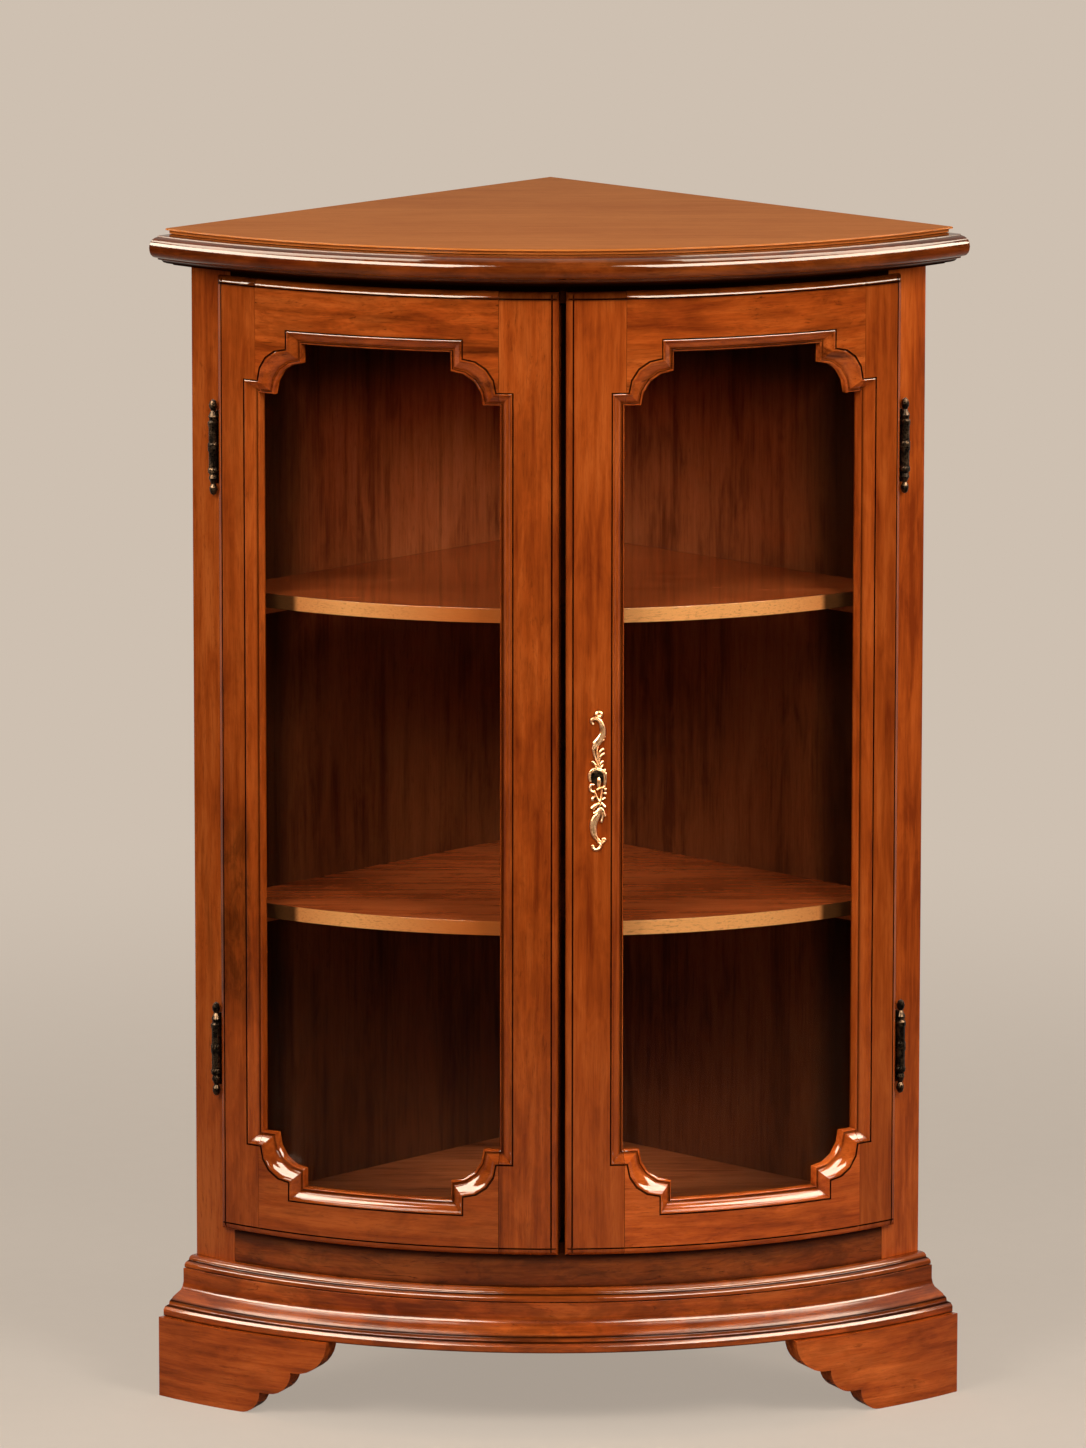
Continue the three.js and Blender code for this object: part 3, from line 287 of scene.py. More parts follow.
# Glaze and painted shade in the base mouldings' creases
CREASE_STRENGTH = 0.92
BEAD_CREASES = ((BASE_TOP - 0.0047, 0.0013), (BASE_TOP - 0.0106, 0.0013))
COVE_CREASES = ((BASE_FOOT + 0.0131, 0.0020), (BASE_FOOT + 0.0090, 0.0012), (BASE_FOOT, 0.0020))
SMOKE = (0.34, 0.58, 0.62)
PATCH_STRETCH = 2.5
OUTER_STILE = (-0.2890, -0.2850, 1.0, 0.25)
# Painted shade on the walls, and painted shadow on the inside floor behind the rails
BESIDE_POSTS = (0.30, 0.385, 0.0, 0.935)
UNDER_TOP = (0.88, 0.96, 0.0, 0.90)
BELOW_SHELF = (SHELF_Z - 0.06, SHELF_Z)
BEHIND_RAILS = (0.24, 0.40, 0.10, 0.62)
# Painted shade on the shelves' front edges left of the middle and towards the ends, and painted shadow at the
# ends
EDGE_MIDDLE = -0.07
EDGE_ASIDE = (0.0, 0.16, 0.95, 0.0)
EDGE_OUTWARD = (0.17, 0.26, 0.0, 0.5)
EDGE_ENDS = (0.2405, 0.2470, 0.0, 0.90)


def from_corner(tree, x, depth):
    """Distance from the room's corner, in plan."""
    square = tree.math("ADD", tree.math("MULTIPLY", x, x), tree.math("MULTIPLY", depth, depth))
    return tree.math("SQRT", square)


def grain_place(tree, place, grain, seed, squeeze):
    """The point in the wood, with the grain's length squeezed, and offset for each board."""
    x, y, z = tree.split(place)
    if grain == "around":
        depth = tree.math("SUBTRACT", CORNER_Y, y)
        along = tree.math("MULTIPLY", tree.math("ARCTAN2", x, depth), BOW_RADIUS * squeeze)
        squeezed = tree.combine(along, from_corner(tree, x, depth), z)
    elif grain == "across":
        squeezed = tree.combine(tree.math("MULTIPLY", x, squeeze), y, z)
    else:
        squeezed = tree.combine(x, y, tree.math("MULTIPLY", z, squeeze))
    return tree.vector("ADD", squeezed, tuple(seed * step for step in SEED_STEP))


def polar(tree, place):
    """Distance from the room's corner, sideways place and height."""
    x, y, z = tree.split(place)
    return from_corner(tree, x, tree.math("SUBTRACT", CORNER_Y, y)), x, z


def meeting_painted_shade(tree, radius, x, z):
    """Painted shade in the gap between the doors."""
    near = tree.math("LESS_THAN", tree.math("ABSOLUTE", x), GAP_HALF)
    deep = tree.span(radius, *BEHIND_FACE)
    return tree.math("MULTIPLY", near, deep)


def lip_painted_shadow(strength):
    """Painted shadow of the cornice, darker along the doors' top edge."""
    def darkening(tree, radius, x, z):
        return tree.span(z, *DOOR_LIP, strength)
    return darkening


def cornice_glaze_and_shade(tree, radius, x, z):
    """Dark under the cornice, partly glaze and partly painted shade."""
    return tree.span(z, *UNDER_CORNICE)


def between_doors(tree, x):
    """Painted shade where the gap between the doors shows the rail behind it."""
    return tree.span(tree.math("ABSOLUTE", x), *BETWEEN_DOORS)


def frame_painted_shade(tree, radius, x, z):
    """Painted shade above the doors, under the cornice, and in the gap between them."""
    above = tree.span(z, *ABOVE_DOORS)
    return tree.math("MAXIMUM", above, between_doors(tree, x))


def base_painted_shade(tree, radius, x, z):
    """Painted shade below the doors, in the middle of the front, and in the gap between them."""
    below = tree.span(z, *BELOW_DOORS)
    aside = tree.math("ABSOLUTE", tree.math("SUBTRACT", x, BASE_MIDDLE))
    middle = tree.math("MAXIMUM", below, tree.span(aside, *BASE_ASIDE))
    inside = tree.math("GREATER_THAN", z, DOOR_FOOT + FOOT_MARGIN)
    return tree.math("MAXIMUM", middle, tree.math("MULTIPLY", inside, between_doors(tree, x)))


def crease_glaze_and_shade(creases):
    """Black lines along the creases of a moulding, partly glaze and partly painted shade, each at a height and
    with a half width.
    """
    def darkening(tree, radius, x, z):
        dark = 0.0
        for height, half in creases:
            away = tree.math("ABSOLUTE", tree.math("SUBTRACT", z, height))
            dark = tree.math("MAXIMUM", dark, tree.span(away, 0.0, half, CREASE_STRENGTH, 0.0))
        return dark
    return darkening


def patchy_stain(upright, strength):
    """Uneven stain, in patches that are longer along the grain."""
    def darkening(tree, radius, x, z):
        if upright:
            place = tree.combine(tree.math("MULTIPLY", x, PATCH_STRETCH), radius, z)
        else:
            place = tree.combine(x, radius, tree.math("MULTIPLY", z, PATCH_STRETCH))
        patch = tree.noise(place, *PATCHES)
        return tree.span(patch, *PATCH_SPAN, strength)
    return darkening


def smoke_stain(low, high, strength):
    """A stretch of the left hinge stile that is darker, beside the light's moulding."""
    def darkening(tree, radius, x, z):
        middle = tree.math("ABSOLUTE", tree.math("SUBTRACT", z, (low + high) / 2))
        near = tree.span(middle, 0.25 * (high - low), 0.5 * (high - low), 1.0, 0.0)
        outer = tree.span(x, *OUTER_STILE)
        patches = patchy_stain(True, 0.5 * strength)(tree, radius, x, z)
        dark = tree.math("ADD", patches, 0.5 * strength)
        return tree.math("MULTIPLY", dark, tree.math("MULTIPLY", near, outer))
    return darkening


def floor_painted_shadow(tree, radius, x, z):
    """Painted shadow on the inside floor behind the doors' bottom rails."""
    return tree.span(radius, *BEHIND_RAILS)


def indoors(tree, radius, x):
    """1 on the room side of the walls' middle, where the cabinet's inside is."""
    square = tree.math("SUBTRACT", tree.math("MULTIPLY", radius, radius), tree.math("MULTIPLY", x, x))
    depth = tree.math("SQRT", square)
    return tree.math("GREATER_THAN", tree.math("SUBTRACT", depth, tree.math("ABSOLUTE", x)), WALL_MIDDLE)


def wall_painted_shade(low):
    """Painted shade on the walls beside the posts, under the top and below the upper shelf."""
    def darkening(tree, radius, x, z):
        beside = tree.span(radius, *BESIDE_POSTS)
        above = tree.span(z, *UNDER_TOP)
        below = tree.span(z, *BELOW_SHELF, low, 0.0)
        dark = tree.math("MAXIMUM", beside, tree.math("MAXIMUM", above, below))
        return tree.math("MULTIPLY", dark, indoors(tree, radius, x))
    return darkening


def swayed(tree, vector, noise, figure):
    """The grain's places, swayed by a slow noise."""
    sway = tree.noise(vector, *noise, output="Color")
    sway = tree.vector("MULTIPLY", tree.vector("SUBTRACT", sway, (0.5, 0.5, 0.5)), (SWAY * figure,) * 3)
    return tree.vector("ADD", vector, sway)


def shelf_front(tree, colour, streak, radius, x):
    """The shelf's pale front edge, with painted shade left of the middle and towards the ends, and an almost
    black painted shadow at its ends.
    """
    worn = tree.mix(streak, PALE_EDGE, tuple(EDGE_WEAR * c for c in PALE_EDGE))
    outward = tree.math("ABSOLUTE", x)
    aside = tree.math("ABSOLUTE", tree.math("SUBTRACT", x, EDGE_MIDDLE))
    shaded = tree.span(aside, *EDGE_ASIDE)
    shaded = tree.math("MAXIMUM", shaded, tree.span(outward, *EDGE_OUTWARD))
    # worn takes on the painted shade here, and next the almost black painted shadow at the ends
    worn = tree.mix(shaded, worn, EDGE_PAINTED_SHADE)
    worn = tree.mix(tree.span(outward, *EDGE_ENDS), worn, GLAZE_AND_SHADE)
    return tree.mix(tree.math("GREATER_THAN", radius, SHELF_RADIUS - EDGE_DEPTH), colour, worn)


def bare_back(tree, colour, mixed, streak, inner):
    """A wall panel's outer side, of bare wood."""
    plain = tree.ramp(mixed, BARE_STOPS, WOOD_COLOURS["raw"])
    plain = tree.mix(tree.math("MULTIPLY", streak, BARE_STREAK), plain, WOOD_COLOURS["raw"][0])
    return tree.mix(inner, plain, colour)


def wood(name, colours, grain, seed, gloss, figure, smudge, tone_and_painted_light, front, stains_and_shade, alone):
    """Stained and lacquered wood: slow figure, fine grain, dark smudges, black glaze and painted shade in the
    quirks and gaps.

    front is true for a shelf with a pale front edge, and alone where the quirks are the piece's own only.
    """
    tree = Tree(bpy.data.materials.new(name))
    place = tree.add("ShaderNodeTexCoord", output="Object")
    grained = grain_place(tree, place, grain, seed, GRAIN_SQUEEZE)
    short = grain_place(tree, place, grain, seed, FLECK_SQUEEZE)
    dark, middle, light = (tuple(tone_and_painted_light * c for c in shade) for shade in WOOD_COLOURS[colours])
    grained = swayed(tree, grained, LONG_SWAY, figure)
    short = swayed(tree, short, SHORT_SWAY, figure)
    slow = tree.noise(grained, *SLOW)
    bands = tree.noise(grained, *BANDS)
    streaks = tree.noise(grained, *STREAKS)
    pores = tree.noise(grained, *PORES)
    smear = tree.noise(grained, *SMEARS)
    flecks = tree.noise(short, *FLECKS)
    curls = tree.noise(short, *CURLS)
    cloud = tree.noise(tree.vector("ADD", place, tuple(seed * step for step in CLOUD_STEP)), *CLOUDS)
    mixed = tree.math("MULTIPLY", slow, SLOW_SHARE)
    mixed = tree.math("ADD", mixed, tree.math("MULTIPLY", bands, BANDS_SHARE))
    mixed = tree.math("ADD", mixed, tree.math("MULTIPLY", cloud, CLOUDS_SHARE))
    mixed = tree.math("ADD", mixed, tree.math("MULTIPLY", curls, CURLS_SHARE))
    colour = tree.ramp(mixed, FIGURE_STOPS, (dark, middle, light))
    streak = tree.span(streaks, *STREAK_SPAN)
    colour = tree.mix(tree.math("MULTIPLY", streak, STREAK_STRENGTH * min(figure, 1.0)), colour, dark)
    pore = tree.span(pores, *PORE_SPAN)
    colour = tree.mix(tree.math("MULTIPLY", pore, PORE_STRENGTH * min(figure, 1.0)), colour, SMUDGE)
    if smudge:
        fleck = tree.math("MULTIPLY", tree.span(flecks, *FLECK_SPAN), tree.span(cloud, *FLECK_CLOUDS))
        colour = tree.mix(tree.math("MULTIPLY", fleck, FLECK_STRENGTH * smudge), colour, SMUDGE)
        smeared = tree.math("MULTIPLY", tree.span(smear, *SMEAR_SPAN), tree.span(streaks, *SMEAR_STREAKS))
        colour = tree.mix(tree.math("MULTIPLY", smeared, SMEAR_STRENGTH * smudge), colour, SMUDGE)
    radius, x, z = polar(tree, place)
    if front:
        colour = shelf_front(tree, colour, streak, radius, x)
    if "wall" in name:
        inner = indoors(tree, radius, x)
        colour = bare_back(tree, colour, mixed, streak, inner)
        gloss = tree.math("MULTIPLY", inner, gloss)
    # Black glaze and painted shade where the surface is hemmed in: quirks, creases and, on crowded pieces, the
    # gaps by their neighbours
    recess = tree.recess(RECESS_REACH, alone)
    glazed_and_shaded = tree.span(recess, *IN_QUIRKS)
    colour = tree.mix(glazed_and_shaded, colour, GLAZE_AND_SHADE)
    # Stains, painted shade and painted shadows darken the colour, and where strong they dull the polish
    for darkening in stains_and_shade:
        darkened = darkening(tree, radius, x, z)
        colour = tree.mix(darkened, colour, GLAZE_AND_SHADE)
        glazed_and_shaded = tree.math("MAXIMUM", glazed_and_shaded, tree.span(darkened, *DULLED))
    gloss = tree.math("MULTIPLY", tree.math("SUBTRACT", 1.0, glazed_and_shaded), gloss)
    swell = tree.noise(place, *SWELL)
    bump = {"Strength": SWELL_STRENGTH, "Distance": SWELL_HEIGHT, "Height": swell}
    relief = tree.add("ShaderNodeBump", bump)
    shader = tree.add(
        "ShaderNodeBsdfPrincipled",
        {
            "Base Color": colour,
            "Roughness": WOOD_ROUGHNESS,
            "Specular IOR Level": 0.0,
            "Coat Weight": gloss,
            "Coat Roughness": HAZE.get(name, COAT_ROUGHNESS),
            "Coat IOR": COAT_IOR,
            "Coat Normal": relief,
        },
    )
    return tree.surface(shader)


# Glass and metals

GLASS_TINT = (0.975, 0.98, 0.975)
GLASS_SHINE = 0.006
GLASS_ROUGHNESS = 0.02
GLASS_EDGE_POWER = 5.0
RIPPLE = (9.0, 1.0, 0.4)
RIPPLE_STRENGTH = 0.06
RIPPLE_HEIGHT = 0.002
METAL_PATCHES = (4.0, 0.6)
METAL_RUBS = (2.0, 0.5)
RUB_SCALE = 4.0
RUB_SPAN = (0.3, 0.7)
RUB_SMOOTHER, RUB_ROUGHER = 0.08, 0.1
WORN_SPAN = (0.5, 0.75)
WEAR_REACH = 0.2
HAMMER_HEIGHT = 0.0003
TARNISH_REACH = 0.0025
IN_PITS = (0.25, 0.80, 0.95, 0.0)


def glass(name):
    """Thin, slightly wavy glass that mirrors more at a slant."""
    tree = Tree(bpy.data.materials.new(name))
    clear = tree.add("ShaderNodeBsdfTransparent", {"Color": GLASS_TINT})
    place = tree.add("ShaderNodeTexCoord", output="Object")
    ripple = tree.noise(place, *RIPPLE)
    bump = {"Strength": RIPPLE_STRENGTH, "Distance": RIPPLE_HEIGHT, "Height": ripple}
    relief = tree.add("ShaderNodeBump", bump)
    polish = {"Color": (1.0, 1.0, 1.0), "Roughness": GLASS_ROUGHNESS, "Normal": relief}
    shine = tree.add("ShaderNodeBsdfGlossy", polish)
    slant = tree.add("ShaderNodeLayerWeight", {"Blend": 0.5}, output="Facing")
    mirror = tree.math("MULTIPLY", tree.math("POWER", slant, GLASS_EDGE_POWER), 1.0 - GLASS_SHINE)
    mixed = tree.add("ShaderNodeMixShader", {0: tree.math("ADD", mirror, GLASS_SHINE), 1: clear, 2: shine})
    return tree.surface(mixed)


def metal(name, base, worn, roughness, wear=0.5, scale=180.0, relief=0.15, tarnish=None):
    """Metal rubbed bright in patches, slightly uneven, and dark in its recesses where tarnish is a colour."""
    tree = Tree(bpy.data.materials.new(name))
    place = tree.add("ShaderNodeTexCoord", output="Object")
    patch = tree.noise(place, scale, *METAL_PATCHES)
    rub = tree.noise(place, scale * RUB_SCALE, *METAL_RUBS)
    spread = tree.span(patch, *(edge - WEAR_REACH * wear for edge in WORN_SPAN))
    colour = tree.mix(spread, base, worn)
    if tarnish:
        recess = tree.recess(TARNISH_REACH, True)
        colour = tree.mix(tree.span(recess, *IN_PITS), colour, tarnish)
    rough = tree.span(rub, *RUB_SPAN, roughness - RUB_SMOOTHER, roughness + RUB_ROUGHER)
    bump = tree.add("ShaderNodeBump", {"Strength": relief, "Distance": HAMMER_HEIGHT, "Height": patch})
    shader = tree.add(
        "ShaderNodeBsdfPrincipled",
        {"Base Color": colour, "Metallic": 1.0, "Roughness": rough, "Normal": bump},
    )
    return tree.surface(shader)


# Which finish each CAD node has: colours, grain, seed, gloss, figure, smudge, tone, where the tone also paints
# some pieces lighter or darker for the light that falls on them

WOODS = {
    "top_board": ("top", "across", 1.0, 0.14, 0.8, 0.0, 0.94),
    "cornice_moulding": ("case", "around", 2.0, 1.0, 1.6, 1.4, 0.62),
    "top_rail": ("case", "around", 3.0, 1.0, 1.0, 1.0, 1.0),
    "bottom_rail": ("case", "around", 4.0, 1.0, 3.0, 2.2, 0.85),
    "left_post": ("case", "upright", 5.0, 1.0, 1.0, 1.0, 1.12),
    "right_post": ("case", "upright", 6.0, 1.0, 0.7, 0.2, 1.62),
    "base_bead_moulding": ("case", "around", 7.0, 1.0, 1.4, 1.2, 1.2),
    "base_cove_moulding": ("case", "around", 8.0, 1.0, 2.4, 1.6, 1.38),
    "left_bracket_foot": ("case", "around", 9.0, 1.0, 1.6, 1.0, 1.6),
    "right_bracket_foot": ("case", "around", 10.0, 1.0, 1.8, 1.0, 1.85),
    "left_door_hinge_stile": ("door", "upright", 11.0, 1.0, 1.0, 0.7, 1.04),
    "left_door_meeting_stile": ("door", "upright", 12.0, 1.0, 1.0, 1.0, 1.12),
    "left_door_top_rail": ("door", "around", 13.0, 1.0, 2.4, 2.0, 1.34),
    "left_door_bottom_rail": ("door", "around", 14.0, 1.0, 1.8, 1.2, 1.1),
    "right_door_hinge_stile": ("door", "upright", 15.0, 1.0, 0.6, 0.2, 1.08),
    "right_door_meeting_stile": ("door", "upright", 16.0, 1.0, 0.7, 0.2, 1.12),
    "right_door_top_rail": ("door", "around", 17.0, 1.0, 2.2, 1.6, 1.32),
    "right_door_bottom_rail": ("door", "around", 18.0, 1.0, 1.8, 1.0, 1.78),
    "left_door_meeting_bead": ("door", "upright", 19.0, 0.6, 1.0, 1.0, 1.0),
    "left_door_hinge_bead": ("door", "upright", 20.0, 0.6, 1.0, 1.0, 1.0),
    "right_door_meeting_bead": ("door", "upright", 21.0, 0.6, 1.0, 1.0, 1.0),
    "right_door_hinge_bead": ("door", "upright", 22.0, 0.6, 1.0, 1.0, 1.0),
    "left_wall_panel": ("inside", "upright", 23.0, 0.5, 0.7, 0.8, 1.0),
    "right_wall_panel": ("inside", "upright", 24.0, 0.5, 0.7, 0.8, 0.85),
    "rear_corner_batten": ("inside", "upright", 25.0, 0.3, 1.0, 1.0, 1.0),
    "floor_board": ("inside", "across", 26.0, 0.7, 1.0, 0.5, 1.4),
    "base_board": ("raw", "across", 27.0, 0.1, 1.0, 0.3, 1.0),
    "left_foot_block": ("raw", "upright", 28.0, 0.1, 1.0, 0.3, 1.0),
    "right_foot_block": ("raw", "upright", 29.0, 0.1, 1.0, 0.3, 1.0),
    "rear_foot": ("raw", "upright", 30.0, 0.1, 1.0, 0.3, 1.0),
    "upper_shelf": ("shelf", "across", 31.0, 1.0, 0.8, 0.15, 0.98),
    "lower_shelf": ("shelf", "across", 32.0, 1.0, 0.4, 0.0, 1.04),
    "upper_left_shelf_cleat": ("inside", "across", 33.0, 0.3, 1.0, 1.0, 1.0),
    "upper_right_shelf_cleat": ("inside", "across", 34.0, 0.3, 1.0, 1.0, 1.0),
    "lower_left_shelf_cleat": ("inside", "across", 35.0, 0.3, 1.0, 1.0, 1.0),
    "lower_right_shelf_cleat": ("inside", "across", 36.0, 0.3, 1.0, 1.0, 1.0),
}

# Pieces whose quirks and gaps lie between them and their neighbours, so that the neighbours also paint shade on
# them, in the gaps between the doors and the case and round the escutcheon
CROWDED = ("left_door_meeting_stile", "right_door_meeting_stile", "top_rail", "bottom_rail")

# Where stain, glaze, painted shade and painted shadows go on each, in order
STAINS_AND_SHADE = {
    "left_door_meeting_stile": (meeting_painted_shade, lip_painted_shadow(0.60), patchy_stain(True, 0.15)),
    "right_door_meeting_stile": (meeting_painted_shade, lip_painted_shadow(0.60)),
    "left_door_top_rail": (lip_painted_shadow(0.30), patchy_stain(False, 0.34)),
    "right_door_top_rail": (lip_painted_shadow(0.30), patchy_stain(False, 0.24)),
    "left_door_bottom_rail": (patchy_stain(False, 0.20),),
    "right_door_bottom_rail": (patchy_stain(False, 0.16),),
    "cornice_moulding": (cornice_glaze_and_shade, patchy_stain(False, 0.38)),
    "top_rail": (frame_painted_shade,),
    "base_bead_moulding": (crease_glaze_and_shade(BEAD_CREASES), patchy_stain(False, 0.22)),
    "base_cove_moulding": (crease_glaze_and_shade(COVE_CREASES), patchy_stain(False, 0.36)),
    "bottom_rail": (base_painted_shade, patchy_stain(False, 0.40)),
    "left_bracket_foot": (patchy_stain(False, 0.16),),
    "right_bracket_foot": (patchy_stain(False, 0.20),),
    "left_door_hinge_stile": (lip_painted_shadow(0.55), smoke_stain(*SMOKE), patchy_stain(True, 0.10)),
    "right_door_hinge_stile": (lip_painted_shadow(0.55),),
    "left_wall_panel": (wall_painted_shade(0.70),),
    "right_wall_panel": (wall_painted_shade(0.52),),
    "rear_corner_batten": (wall_painted_shade(0.60),),
    "floor_board": (floor_painted_shadow,),
}


def dress(node, material):
    """Gives a CAD node its material."""
    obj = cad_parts[node]
    obj.data.materials.clear()
    obj.data.materials.append(material)


def smooth_group():
    """Edges under the smoothing angle are shaded smooth, the others stay sharp."""
    group = bpy.data.node_groups.new("smooth_by_angle", "GeometryNodeTree")
    group.interface.new_socket("Geometry", in_out="INPUT", socket_type="NodeSocketGeometry")
    group.interface.new_socket("Geometry", in_out="OUTPUT", socket_type="NodeSocketGeometry")
    start = group.nodes.new("NodeGroupInput")
    end = group.nodes.new("NodeGroupOutput")
    angle = group.nodes.new("GeometryNodeInputMeshEdgeAngle")
    compare = group.nodes.new("FunctionNodeCompare")
    compare.data_type = "FLOAT"
    compare.operation = "LESS_THAN"
    compare.inputs["B"].default_value = math.radians(SMOOTH_ANGLE)
    shade = group.nodes.new("GeometryNodeSetShadeSmooth")
    shade.domain = "EDGE"
    group.links.new(start.outputs[0], shade.inputs["Geometry"])
    group.links.new(angle.outputs["Unsigned Angle"], compare.inputs["A"])
    group.links.new(compare.outputs["Result"], shade.inputs["Shade Smooth"])
    group.links.new(shade.outputs[0], end.inputs[0])
    return group


def soften(obj, group, width):
    """Joins the CAD triangles, rounds the sharp edges a little and shades the curves smooth."""
    mesh = obj.data
    for name in ("custom_normal", "sharp_edge", "sharp_face"):
        if name in mesh.attributes:
            mesh.attributes.remove(mesh.attributes[name])
    weld = obj.modifiers.new("weld", "WELD")
    weld.merge_threshold = WELD_DISTANCE
    flat = obj.modifiers.new("flat", "DECIMATE")
    flat.decimate_type = "DISSOLVE"
    flat.angle_limit = math.radians(FLAT_ANGLE)
    if width:
        bevel = obj.modifiers.new("round", "BEVEL")
        bevel.limit_method = "ANGLE"
        bevel.angle_limit = math.radians(EDGE_ANGLE)
        bevel.width = width
        bevel.segments = 2
        bevel.use_clamp_overlap = True
    shade = obj.modifiers.new("shade", "NODES")
    shade.node_group = group
    normals = obj.modifiers.new("normals", "WEIGHTED_NORMAL")
    normals.keep_sharp = True


smooth = smooth_group()
for name, finish in WOODS.items():
    front = name in ("upper_shelf", "lower_shelf")
    dress(name, wood(f"{name}_wood", *finish, front, STAINS_AND_SHADE.get(name, ()), name not in CROWDED))
    soften(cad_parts[name], smooth, EDGE_ROUND)

pane = glass("window_glass")
bronze = metal("hinge_bronze", (0.012, 0.009, 0.007), (0.07, 0.045, 0.028), 0.32, wear=0.4)
gilt = metal(
    "gilt_copper", (0.62, 0.29, 0.13), (0.92, 0.60, 0.36), 0.34,
    wear=0.7, scale=300.0, relief=0.3, tarnish=(0.035, 0.012, 0.004),
)
brass = metal("lock_brass", (0.55, 0.36, 0.12), (0.75, 0.55, 0.25), 0.30)
steel = metal("bolt_steel", (0.36, 0.35, 0.33), (0.55, 0.54, 0.52), 0.30)
FINISHES = {"glass": pane, "dark_bronze": bronze, "gilt_brass": gilt, "brass": brass, "steel": steel}
for name, obj in sorted(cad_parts.items()):
    if name not in WOODS:
        slot = obj.data.materials[0].name
        dress(name, FINISHES[slot])
        soften(obj, smooth, 0.0 if slot == "glass" else METAL_ROUND)


